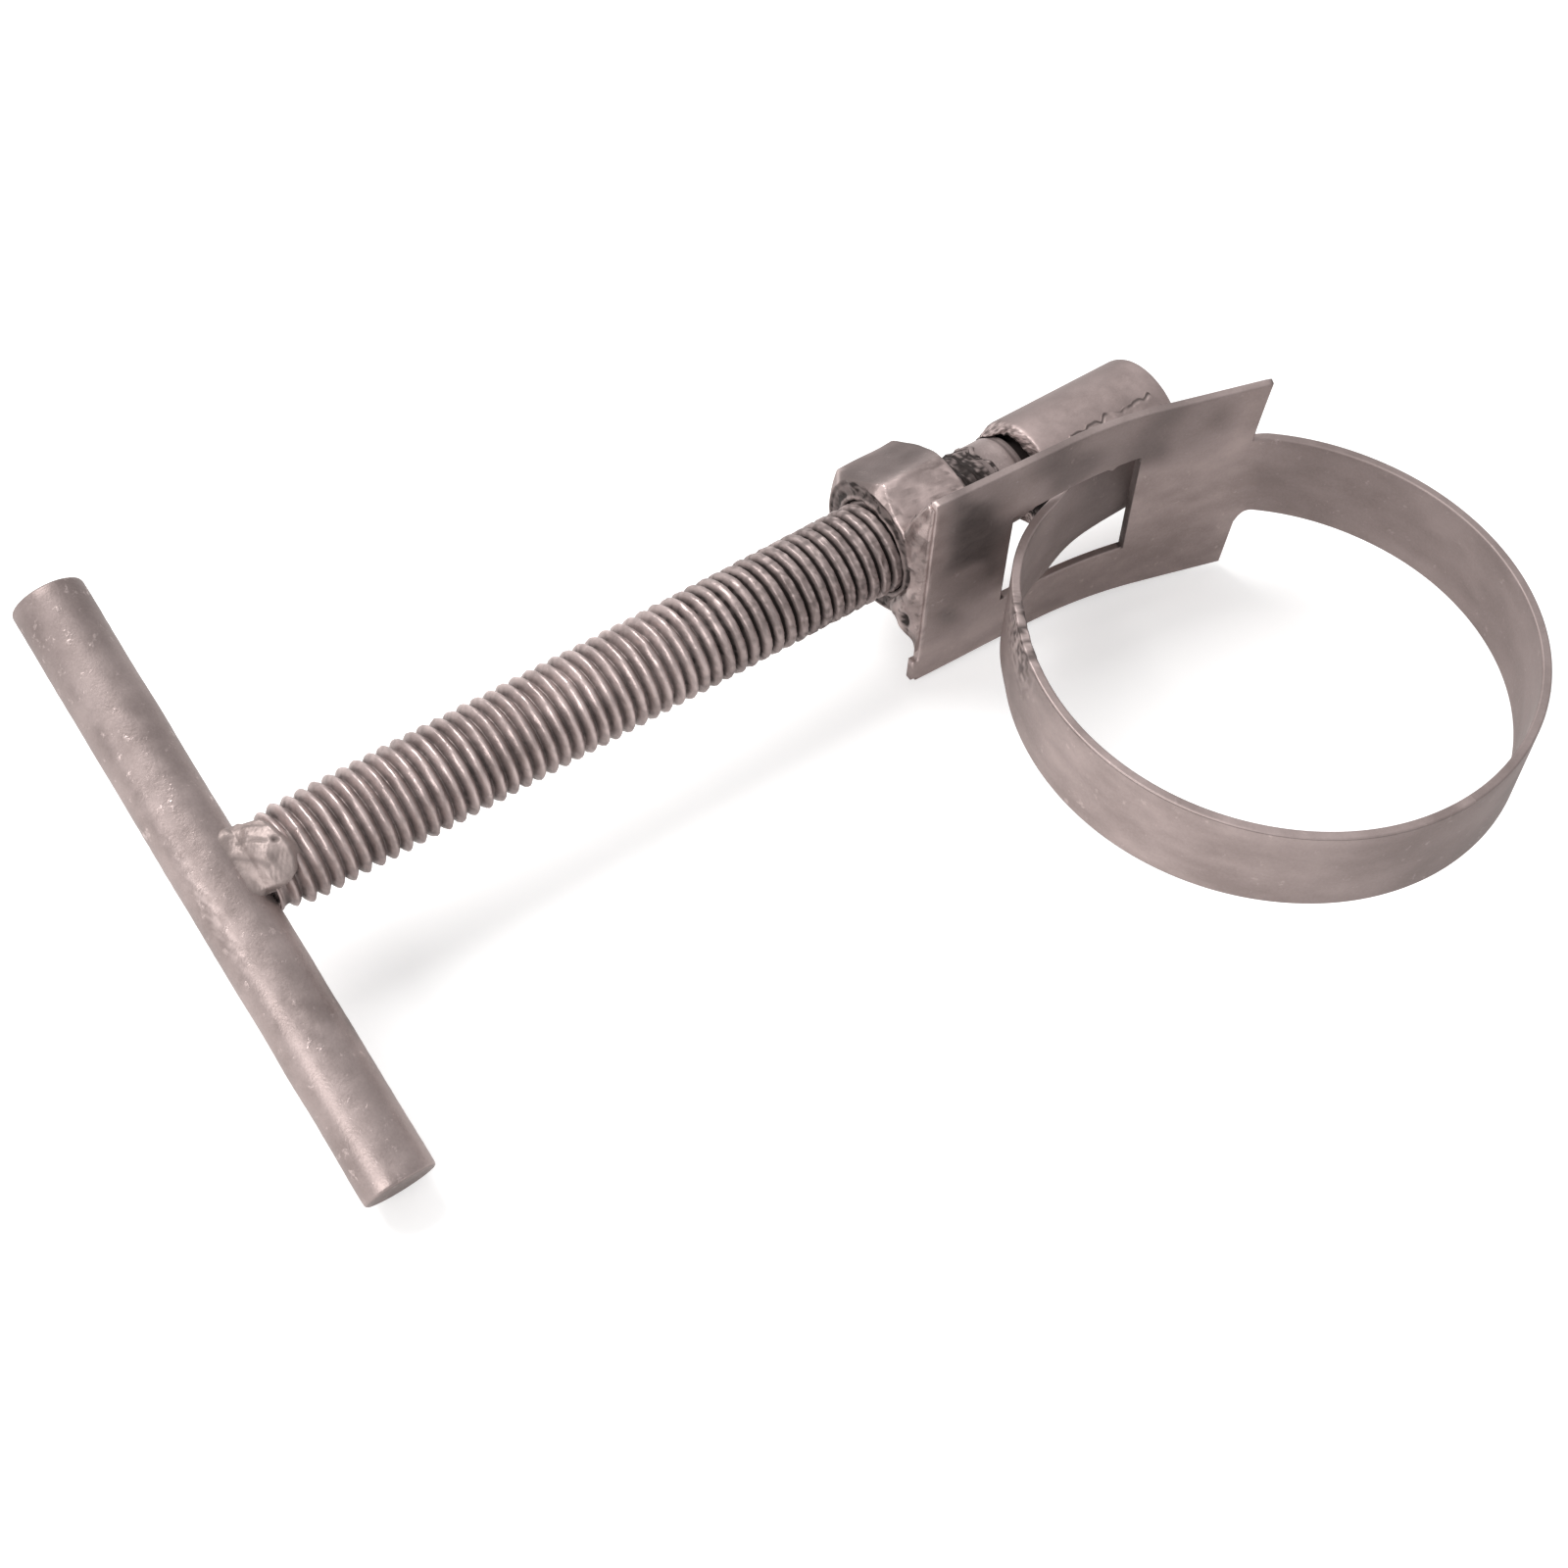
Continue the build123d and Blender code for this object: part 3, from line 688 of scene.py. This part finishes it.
ground = nut_front + 0.25 + np.maximum(0, far_out - chamfer_r) * chamfer_slope * (1 - t)
ground = np.clip(ground, None, plate_end_x) - 0.28 * smooth_step(t, 0.5, 0.9)
hump = smooth_step(t, -0.12, 0.3) * (1 - smooth_step(t, 0.5, 1.02)) ** 0.8
hump = np.where(t < 0.02, 0, hump)
front = np.stack([ground - tall[:, None] * hump - 0.35 * hump, y, z], -1)
uneven = (unevenness(front, 3.4, 21) * 0.22 + unevenness(front, 1.5, 22) * 0.07
          + unevenness(front, 0.6, 23) * 0.02)
pit = np.exp(-(((front[..., 1:] - np.array([34.0, -5.6])) / np.array([0.45, 1.3])) ** 2).sum(-1))
notch = np.exp(-(((front[..., 1:] - np.array([34.4, 3.9])) / np.array([1.1, 0.35])) ** 2).sum(-1))
seam = np.exp(-((t - 0.1) / 0.05) ** 2) * smooth_step(np.abs(unevenness(front, 5.0, 24)), 0.1, 0.5)
front[..., 0] -= (uneven - 0.9 * pit - 0.35 * notch) * np.minimum(1, hump * 1.2)

# Three rows inside plate and nut close the bead's body behind its skin
low_back = np.stack([plate_end_x + 0 * s, 32.3 + 0 * s, z_plate], -1)[:, None]
deep_back = np.stack([buried_x + 0 * s, 33.0 + 0 * s, z_plate], -1)[:, None]
high_back = np.stack([buried_x + 0 * s, np.minimum(y_nut, 36.0), z_nut * 0.97], -1)[:, None]
body = np.concatenate([front, low_back, deep_back, high_back], 1)
none = np.zeros((len(s), 3))
# Painted shade in the pit, the notch and the seam along the nut, dark spatter flecks, and a painted
# glint on raised lumps
spatter = smooth_step(unevenness(front, 1.1, 25), 0.45, 0.8)
dirt_and_shade = np.clip(2.0 * pit + 0.8 * notch + 0.7 * seam + 0.5 * spatter, 0, 1)
glint = smooth_step(uneven, 0.05, 0.25) * 0.6
nut_bead = closed_tube("nut_bead", body, bead_steel, {
    "grime_and_shade": np.concatenate([dirt_and_shade, none], 1), "wear_and_highlight": np.concatenate([glint, none], 1)})
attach(nut_bead, "band")
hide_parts("nut_weld")


# The screw: M12 rod with a rolled thread of 1.75 mm pitch, turned down to a smooth shank
# and a groove behind the head that turns in the sleeve. The thread's crests are rounded by
# the zinc, worn smooth towards the handle and lit with painted highlights, and its grooves
# are painted dark as shade, black near the nut.
pitch = 1.75
rod_start = -113.93
thread_stop = -12.55
crest_start = 4.95
crest = 5.95
thread_depth = 1.12
around = 96
crest_place = -111.05
crest_angle = np.radians(33.6)

# Rows of one turn, as shares of the pitch from crest to crest, closer in the groove
row_share = np.array([0.0, 0.1, 0.19, 0.26, 0.32, 0.38, 0.44, 0.5, 0.56, 0.62, 0.68, 0.74, 0.81, 0.9])
per_turn = len(row_share)
turns = int(np.ceil((thread_stop - rod_start) / pitch)) + 3
i = np.arange(turns * per_turn)
share = (i // per_turn - 1 + row_share[i % per_turn])[:, None]
turn = np.linspace(0, 2 * np.pi, around + 1)[None, :]
base = crest_place - np.ceil((crest_place - rod_start) / pitch) * pitch
helix_x = base + share * pitch + pitch * (turn - crest_angle) / (2 * np.pi)
from_groove = np.abs(2 * (share % 1.0) - 1) + 0 * turn
x = np.clip(helix_x, rod_start, thread_stop)

# Crests are round towards the handle and flat near the nut, and the end beside the sleeve is torn
near_nut = smooth_step(x, -66, -38)
round_top = 0.8 * np.sin(from_groove * np.pi / 2) + 0.2 * from_groove
flat_top = smooth_step(from_groove, 0.05, 0.56)
height = round_top + (flat_top - round_top) * near_nut
limit = crest_start + (crest - crest_start) * smooth_step(x, rod_start - 1.0, rod_start + 5.0)
torn = smooth_step(x, -18.9, -17.4)
limit = limit - 0.22 * torn
r = limit - thread_depth * (1 - height) * (1 - 0.75 * torn)
r = np.maximum(r, 4.7)
flat = np.stack([x, nut_y + r * np.cos(turn), r * np.sin(turn)], -1)
grit = unevenness(flat, 0.8, 32) * 0.04 * (1 + 0.8 * near_nut) + unevenness(flat, 0.45, 38) * 0.03
scar = (unevenness(flat, 1.8, 35) * 0.12 + unevenness(flat, 0.7, 36) * 0.1) * torn
end_sink = 0.35 * smooth_step(x, thread_stop - 0.35, thread_stop)
r = r + unevenness(flat, 2.2, 31) * 0.05 + grit + scar - end_sink

# It stays clear of the nut's bore, and its end has a ragged border
r = np.minimum(r, np.where(torn > 0, 5.8, 5.99))
end_ring = np.stack([0 * r, 6 * np.cos(turn) + 0 * r, 6 * np.sin(turn) + 0 * r], -1)
border = unevenness(end_ring, 2.6, 37) * 0.6
x = x + border * smooth_step(x, -16.5, thread_stop)
points = np.stack([x, nut_y + r * np.cos(turn), r * np.sin(turn)], -1)
blotch = smooth_step(unevenness(flat, 7.0, 33), -0.2, 0.6)
specks = smooth_step(unevenness(flat, 1.1, 34), 0.1, 0.6)
# Painted shade in the grooves, black near the nut, the rod darker with specks near the nut and specked
# elsewhere, and painted highlights on the crests. The torn end is dark, darker in its hollows and bright
# on its raised bits.
groove = smooth_step(1 - height, 0.3, 0.8)
grime_and_shade = (groove * (0.36 + 0.84 * near_nut + 0.2 * blotch) + near_nut * (0.2 + 0.4 * specks)
         + (1 - near_nut) * 0.2 * specks)
grime_and_shade = np.clip(grime_and_shade + torn * (0.2 + 0.55 * smooth_step(-scar, -0.08, 0.06)), 0, 1.1)
crest_highlight = (0.35 + 0.45 * blotch) * (1 - near_nut)
wear_and_highlight = height ** 6 * (crest_highlight + 0.6 * near_nut * smooth_step(grit, 0.02, 0.05))
wear_and_highlight = wear_and_highlight * (1 - torn) + torn * 0.5 * smooth_step(scar, 0.07, 0.15)

# The last column of a turn is the first one of the next
ids = np.arange(x.size).reshape(x.shape)
ids[:-per_turn, -1] = ids[per_turn:, 0]
quads = np.stack([ids[:-1, :-1], ids[:-1, 1:], ids[1:, 1:], ids[1:, :-1]], -1)
quads = quads[:-per_turn].reshape(-1, 4)
corner_x = points.reshape(-1, 3)[quads][..., 0]
quads = quads[(corner_x.max(1) - corner_x.min(1)) > 1e-6]
thread_zinc = zinc_finish("thread_zinc", (0.5, 0.406, 0.388), (0.3, 0.236, 0.224), cloud=7.0, grain=0.3,
                          bump=0.12, spots=0.6, rough=0.4)
screw = new_piece("screw_thread", points.reshape(-1, 3), quads, thread_zinc,
                  marks={"grime_and_shade": grime_and_shade.ravel(), "wear_and_highlight": wear_and_highlight.ravel()})
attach(screw, "screw")
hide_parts("spindle")

# The rod's core, the shank, its groove and the head, as x, radius and darkening along the path;
# the torn thread end dark, the groove band and the neck inside the sleeve's mouth in painted shade
core_r = 4.2
shank_path = np.array([
    (rod_start, 0.0, 0.42), (rod_start, core_r, 0.42), (-15.4, core_r, 1.12), (-15.3, 5.3, 1.12),
    (-14.6, 5.5, 1.02), (-13.4, 5.58, 0.62), (-12.6, 5.61, 0.42), (-12.2, 5.62, 0.24),
    (-11.4, 5.62, 0.17), (-10.6, 5.62, 0.17), (-9.95, 5.61, 0.22), (-9.72, 5.56, 0.47),
    (-9.6, 5.46, 0.62), (-9.2, 5.42, 0.5), (-8.75, 5.4, 0.52), (-8.6, 5.3, 0.97),
    (-8.55, 4.75, 1.12), (-7.0, 4.7, 1.12), (-5.95, 4.72, 1.12), (-5.8, 5.4, 1.12),
    (-5.6, 5.6, 0.92), (6.2, 5.6, 0.42), (6.79, 5.0, 0.42), (6.793, 0.0, 0.42)])
shank_x, shank_r, shank_grime_and_shade = shank_path.T[:, :, None]
shank = ring_piece("screw_shank", shank_x, np.repeat(shank_r, 120, 1), nut_y, thread_zinc,
                   {"grime_and_shade": shank_grime_and_shade, "wear_and_highlight": 0 * shank_grime_and_shade})
close_poles(shank)
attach(shank, "screw")
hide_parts("spindle")


# The cross handle: a plain 8.7 mm round bar, sawn off square at both ends, with thin runs
# and pimples of zinc along it. It stands across the screw's end, a little off its middle.
bar_x = -118.307
bar_tilt = np.radians(19.8)
bar_way = np.array([0, np.cos(bar_tilt), np.sin(bar_tilt)])
bar_side = np.array([0, -np.sin(bar_tilt), np.cos(bar_tilt)])
bar_half = 38.4
bar_radius = 4.36
bar_shift = 0.5
cut_path = [(-bar_half, 0.0), (-bar_half, 2.5), (-bar_half, 3.9), (-bar_half + 0.05, 4.15),
            (-bar_half + 0.16, 4.29), (-bar_half + 0.4, 4.355)]
middle_path = [(s, bar_radius) for s in np.linspace(-bar_half + 1.5, bar_half - 1.5, 110)]
bar_path = np.array(cut_path + middle_path + [(-s, r) for s, r in cut_path[::-1]])
angle = np.linspace(0, 2 * np.pi, 72, endpoint=False)
s = bar_path[:, 0][:, None] + bar_shift
r = bar_path[:, 1][:, None] + 0 * angle
hub = np.array([bar_x, nut_y, 0])
round_way = np.array([1.0, 0, 0]) * np.cos(angle)[:, None] + bar_side * np.sin(angle)[:, None]
points = hub + s[..., None] * bar_way + r[..., None] * round_way[None]
skin = (unevenness(points, 9.0, 41) * 0.05 + unevenness(points, 1.6, 42) * 0.015)
points = points + round_way[None] * (skin * np.minimum(1, r / 4.3))[..., None]
ids = np.arange(r.size).reshape(r.shape)
nxt = np.roll(ids, -1, 1)
faces = np.stack([ids[:-1], ids[1:], nxt[1:], nxt[:-1]], -1).reshape(-1, 4)
bar_zinc = zinc_finish("bar_zinc", (0.47, 0.383, 0.365), (0.31, 0.248, 0.234), cloud=9.0, grain=0.3,
                       bump=0.12, spots=0.9, rough=0.44)

# The sawn ends are dull, a speckled band of painted highlight lies beside the weld, and the top end is
# dusky
ends = (np.abs(bar_path[:, 0]) > bar_half - 0.06)[:, None] + 0 * angle
from_band = (angle - np.radians(131)) / np.radians(14)
speckled_highlight = unevenness(points, 1.0, 43) + unevenness(points, 0.5, 44)
speckled_highlight = 0.55 * np.exp(-from_band ** 2) * np.exp(-((s + 1.5) / 8.5) ** 4) * smooth_step(speckled_highlight, 0.0, 0.6)
dusk = 0.22 * smooth_step(s, 8, 32) + 0 * angle
handle = new_piece("cross_handle", points.reshape(-1, 3), faces, bar_zinc,
                   marks={"grime_and_shade": (ends * 0.25 + dusk).ravel(), "wear_and_highlight": speckled_highlight.ravel()})
close_poles(handle)
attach(handle, "screw")
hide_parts("t_bar")


# The handle's weld: laid from one side into the corner of bar and rod, over the last turns
# of thread, and left as a smooth lump with two folds, a pit and a sharp toe along the bar.
# Its height is that of bar and rod, blended, plus a cushion that sinks into them at its rim.
weld_turn = np.radians(22)
weld_out = np.array([0, -np.sin(weld_turn), np.cos(weld_turn)])
weld_up = np.array([0, np.cos(weld_turn), np.sin(weld_turn)])
lean_deg = np.linspace(-48, 74, 110)[None, :]
lean = np.radians(lean_deg)
u = np.linspace(0, 1, 80)[:, None]
toe_x = np.interp(lean_deg, [-48, -44, -36, -20, 0, 15, 30, 48, 58, 66, 74],
                  [3.3, 2.2, 1.7, 1.6, 1.6, 1.4, 1.2, 1.3, 2.1, 2.9, 3.5])
far_x = np.interp(lean_deg, [-48, -44, -38, -30, -15, -3, 15, 30, 38, 44, 50, 58, 66, 74],
                  [4.4, 5.4, 6.5, 7.6, 8.4, 8.5, 8.2, 7.8, 7.5, 6.8, 5.6, 4.9, 4.4, 3.9])
x = toe_x + (far_x - toe_x) * u
bar_r = np.sqrt(bar_radius ** 2 - np.minimum(x, 3.4) ** 2) / np.cos(lean - (weld_turn - bar_tilt))
rod_r = 4.95 + 0.5 * smooth_step(x, 4.4, 8.0)
base = bar_r + (rod_r - bar_r) * smooth_step(x, 1.2, 5.2)
inside = (smooth_step(u, -0.02, 0.42) * (1 - smooth_step(u, 0.8, 1.0))
          * smooth_step(lean_deg, -48, -33) * (1 - smooth_step(lean_deg, 55, 74)))
r = least([base, 6.3 + 0 * base], 0.2) - 0.08 + 1.2 * inside
arc = lean * 5.5


def fold(x0, arc0, x1, arc1, width):
    """1 on the line from (x0, arc0) to (x1, arc1) on the weld's face, and exp(-(d / width)^2)
    at a distance d from it."""
    run_x, run_a = x1 - x0, arc1 - arc0
    share = np.clip(((x - x0) * run_x + (arc - arc0) * run_a) / (run_x ** 2 + run_a ** 2), 0, 1)
    return np.exp(-((x - x0 - share * run_x) ** 2 + (arc - arc0 - share * run_a) ** 2) / width ** 2)


creases = (fold(3.2, 3.2, 5.6, 1.2, 0.22) + fold(2.2, 2.0, 4.6, -1.2, 0.3)
           + 0.8 * fold(4.6, 4.4, 6.6, 2.8, 0.25))
pits = fold(6.5, 0.9, 6.7, 0.8, 0.28)
way = np.cos(lean)[..., None] * weld_out + np.sin(lean)[..., None] * weld_up
points = hub + x[..., None] * np.array([1.0, 0, 0]) + r[..., None] * way
lumps = (unevenness(points, 3.4, 51) * 0.12 + unevenness(points, 1.3, 52) * 0.05
         - creases * 0.14 - pits * 0.4 + unevenness(points, 0.6, 53) * 0.02)
points = points + way * (lumps * inside ** 0.3)[..., None]
ids = np.arange(x.size).reshape(x.shape)
faces = np.stack([ids[:-1, :-1], ids[:-1, 1:], ids[1:, 1:], ids[1:, :-1]], -1).reshape(-1, 4)
weld_zinc = zinc_finish("weld_zinc", (0.395, 0.321, 0.302), (0.265, 0.213, 0.199), cloud=3.0,
                        grain=0.25, bump=0.09, spots=0.4, rough=0.5, metal=0.6)
# Painted shade in the pit, the folds and round the rim where the bead meets bar and rod, and a faint
# painted highlight on raised lumps
grime_and_shade = 0.55 * pits + 0.3 * creases + 0.35 * (1 - inside) ** 4
wear_and_highlight = 0.15 * smooth_step(lumps, 0.05, 0.2)
handle_bead = new_piece("handle_bead", points.reshape(-1, 3), faces, weld_zinc,
                        marks={"grime_and_shade": grime_and_shade.ravel(), "wear_and_highlight": wear_and_highlight.ravel()})
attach(handle_bead, "screw")
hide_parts("handle_weld")


# The sleeve: a turned steel tube that takes the screw's head. Its mouth is peened in
# behind the head and left ragged, its far end is closed.
sleeve_y = 40.514
sleeve_end = 12.093
sleeve_r = 8.0
offset = nut_y - sleeve_y
sleeve_round = 240
angle_deg = np.linspace(0, 360, sleeve_round, endpoint=False)

# The lip by angle: it lies against the shank on the far upper side, and stands off it,
# further back, on the side that faces the loop
lip_x = np.interp(angle_deg, [0, 52, 60, 67, 76, 90, 105, 120, 300, 340, 360],
                  [-9.5, -9.5, -9.2, -8.6, -8.3, -8.15, -7.95, -7.7, -7.7, -9.0, -9.5])
lip_r = np.interp(angle_deg, [0, 55, 64, 76, 300, 345, 360], [5.7, 5.7, 5.78, 6.05, 6.05, 5.75, 5.7])

# Below, behind the plate's window, the mouth stands further back
back = 1.6 * smooth_step(angle_deg, 125, 160) * (1 - smooth_step(angle_deg, 255, 300))
lip_x = lip_x + 0.95 * back

# Rows as x and radius: the bore from its end to the lip, the lip's edge in steps from the
# shank out to the full radius, and the outside with its closed far end
bore_rows = np.array([(6.9, 0.0), (6.9, 5.66), (-6.0, 5.66), (-6.1, 5.2), (-6.9, 5.2), (-7.3, 5.6)])
plain_rows = [(x, sleeve_r) for x in (-7.2, -6.8, -6.0, -4.5, -2.0, 1.0, 4.0, 7.0, 10.0, 11.4)]
end_rows = [(11.7, 7.95), (11.95, 7.82), (12.05, 7.68), (sleeve_end, 7.5), (sleeve_end, 5.0),
            (sleeve_end, 0.0)]
outer_rows = np.array([(-7.72, 7.93), (-7.5, 7.98)] + plain_rows + end_rows)
steps = np.array([0.0, 0.06, 0.16, 0.28, 0.4, 0.52, 0.64, 0.76, 0.86, 0.94])
lip_path = steps[:, None]
edge_x = lip_x + (-7.85 + back - lip_x) * lip_path ** 1.6
edge_r = lip_r + (7.86 - lip_r) * lip_path ** (0.75 + 0.5 * smooth_step(-lip_x, 8.3, 9.6))


def by_row(bore, lip, outside):
    """One column of numbers for all rows, each part filled up with its last number."""
    parts = [(bore, len(bore_rows)), (lip, len(steps)), (outside, len(outer_rows))]
    return np.concatenate([np.pad(np.array(part, float), (0, full - len(part)), "edge")
                           for part, full in parts])[:, None]


ring_x, ring_r = [
    np.concatenate([np.repeat(bore_rows[:, [k]], sleeve_round, 1), edge,
                    np.repeat(outer_rows[:, [k]], sleeve_round, 1)])
    for k, edge in ((0, edge_x), (1, edge_r))]
ring_x = ring_x + by_row([0, 0, 0, 0.03, 0.45, 0.7], [0], [1, 0.95, 0.85, 0.7, 0.4, 0]) * back
moved_over = by_row([0], steps, [1])
ragged = by_row([0], [1] * 8 + [0.8, 0.55], [0.3, 0.12, 0])
place = np.stack([
    ring_x, ring_r * np.cos(np.radians(angle_deg)), ring_r * np.sin(np.radians(angle_deg))], -1)
crumble = unevenness(place, 2.1, 61) * 0.12 + unevenness(place, 0.7, 62) * 0.07
crumbs = unevenness(place, 0.9, 64) + unevenness(place, 0.45, 65)


def set_off(points):
    """Moves each ring from the screw's axis to the sleeve's own and crumbles the mouth."""
    moved = points.copy()
    moved[..., 1] -= offset * moved_over
    moved[..., 0] += ragged * crumble
    spoke = moved - np.array([0, sleeve_y, 0])
    spoke[..., 0] = 0
    spoke /= np.maximum(1e-6, np.linalg.norm(spoke, axis=-1))[..., None]
    return moved + spoke * (ragged * unevenness(points, 0.8, 63) * 0.1)[..., None]


# Painted shade inside the bore and on the lip's inner steps, the sleeve darker on its upper side, and
# the ragged mouth dark and bright in flecks
bore_shade = by_row([1], [0.6, 0.3, 0], [0])
upper_dusk = 0.38 * (1 - smooth_step(angle_deg, 56, 84))[None, :] * (ring_r > 7.9)
grime_and_shade = np.clip(bore_shade + upper_dusk + ragged * (0.1 + 0.6 * smooth_step(crumbs, 0.1, 0.5)), 0, 1)
wear_and_highlight = 0.9 * ragged * smooth_step(-crumbs, 0.1, 0.5)
sleeve_zinc = zinc_finish("sleeve_zinc", (0.49, 0.392, 0.374), (0.34, 0.269, 0.254), cloud=10.0,
                          grain=0.25, bump=0.05, spots=0.2, rough=0.48)
sleeve = ring_piece("sleeve_body", ring_x, ring_r, nut_y, sleeve_zinc,
                    {"grime_and_shade": grime_and_shade, "wear_and_highlight": wear_and_highlight}, lift=set_off)
close_poles(sleeve)
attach(sleeve, "sleeve")
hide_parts("swivel_sleeve")


# The sleeve's welds: one low bead along each rim of the cupped strap, run out flat on the
# sleeve's side, where a wavy crack marks its toe.
bead_start, bead_stop = -4.4, 10.9
strap_rim_deg = 41.0
skin_points = 27
crack_v = 0.89
for side, label in ((1, "front"), (-1, "rear")):
    x = np.linspace(bead_start, bead_stop, 150)[:, None]
    share = (x - bead_start) / (bead_stop - bead_start)
    track = np.stack([x, 0 * x, 0 * x], -1)
    wave = 7.0 * np.abs(unevenness(track, 2.8, 74)) + 1.6 * unevenness(track, 1.1, 75) - 1.5
    ends = np.minimum(1, np.minimum(share, 1 - share) * 12) ** 0.5
    toe = strap_rim_deg + (32.5 + wave) * ends
    root = strap_rim_deg - 2.0 * ends
    v = np.concatenate([np.linspace(0, 0.7, 14), np.linspace(0.73, 1, 13), [0.75, 0.45, 0.2]])[None, :]
    turn = np.radians(root + (toe - root) * v)
    outside = np.arange(v.shape[1]) < skin_points
    heap = 0.75 * (1 - v) ** 1.3 * smooth_step(v, -0.6, 0.25) + 0.12 * smooth_step(v, 0.5, 0.85)
    swell = sleeve_r + 0.06 + ends * heap
    swell = np.where(outside, swell - 0.45 * smooth_step(v, 0.93, 1.0), 7.7)
    skin = np.stack([x + 0 * v, sleeve_y - swell * np.cos(turn), side * swell * np.sin(turn)], -1)
    lumps = unevenness(skin, 2.4, 71) * 0.07 + unevenness(skin, 1.0, 72) * 0.04
    broken = smooth_step(unevenness(skin * np.array([1.0, 0.3, 0.3]), 1.6, 73), -0.6, -0.2)
    crack = np.exp(-((v - crack_v) / 0.062) ** 2) * broken * outside
    lumps = np.where(outside, np.maximum(lumps, -0.04) - 0.12 * crack, 0) * ends
    spoke = np.stack([0 * turn, -np.cos(turn), side * np.sin(turn)], -1)
    # The crack is painted dark, the shade in it
    bead = closed_tube(f"sleeve_bead_{label}", skin + spoke * lumps[..., None], sleeve_zinc, {
        "grime_and_shade": crack * 0.85, "wear_and_highlight": 0 * crack})
    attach(bead, "sleeve")
    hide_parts("sleeve_weld")
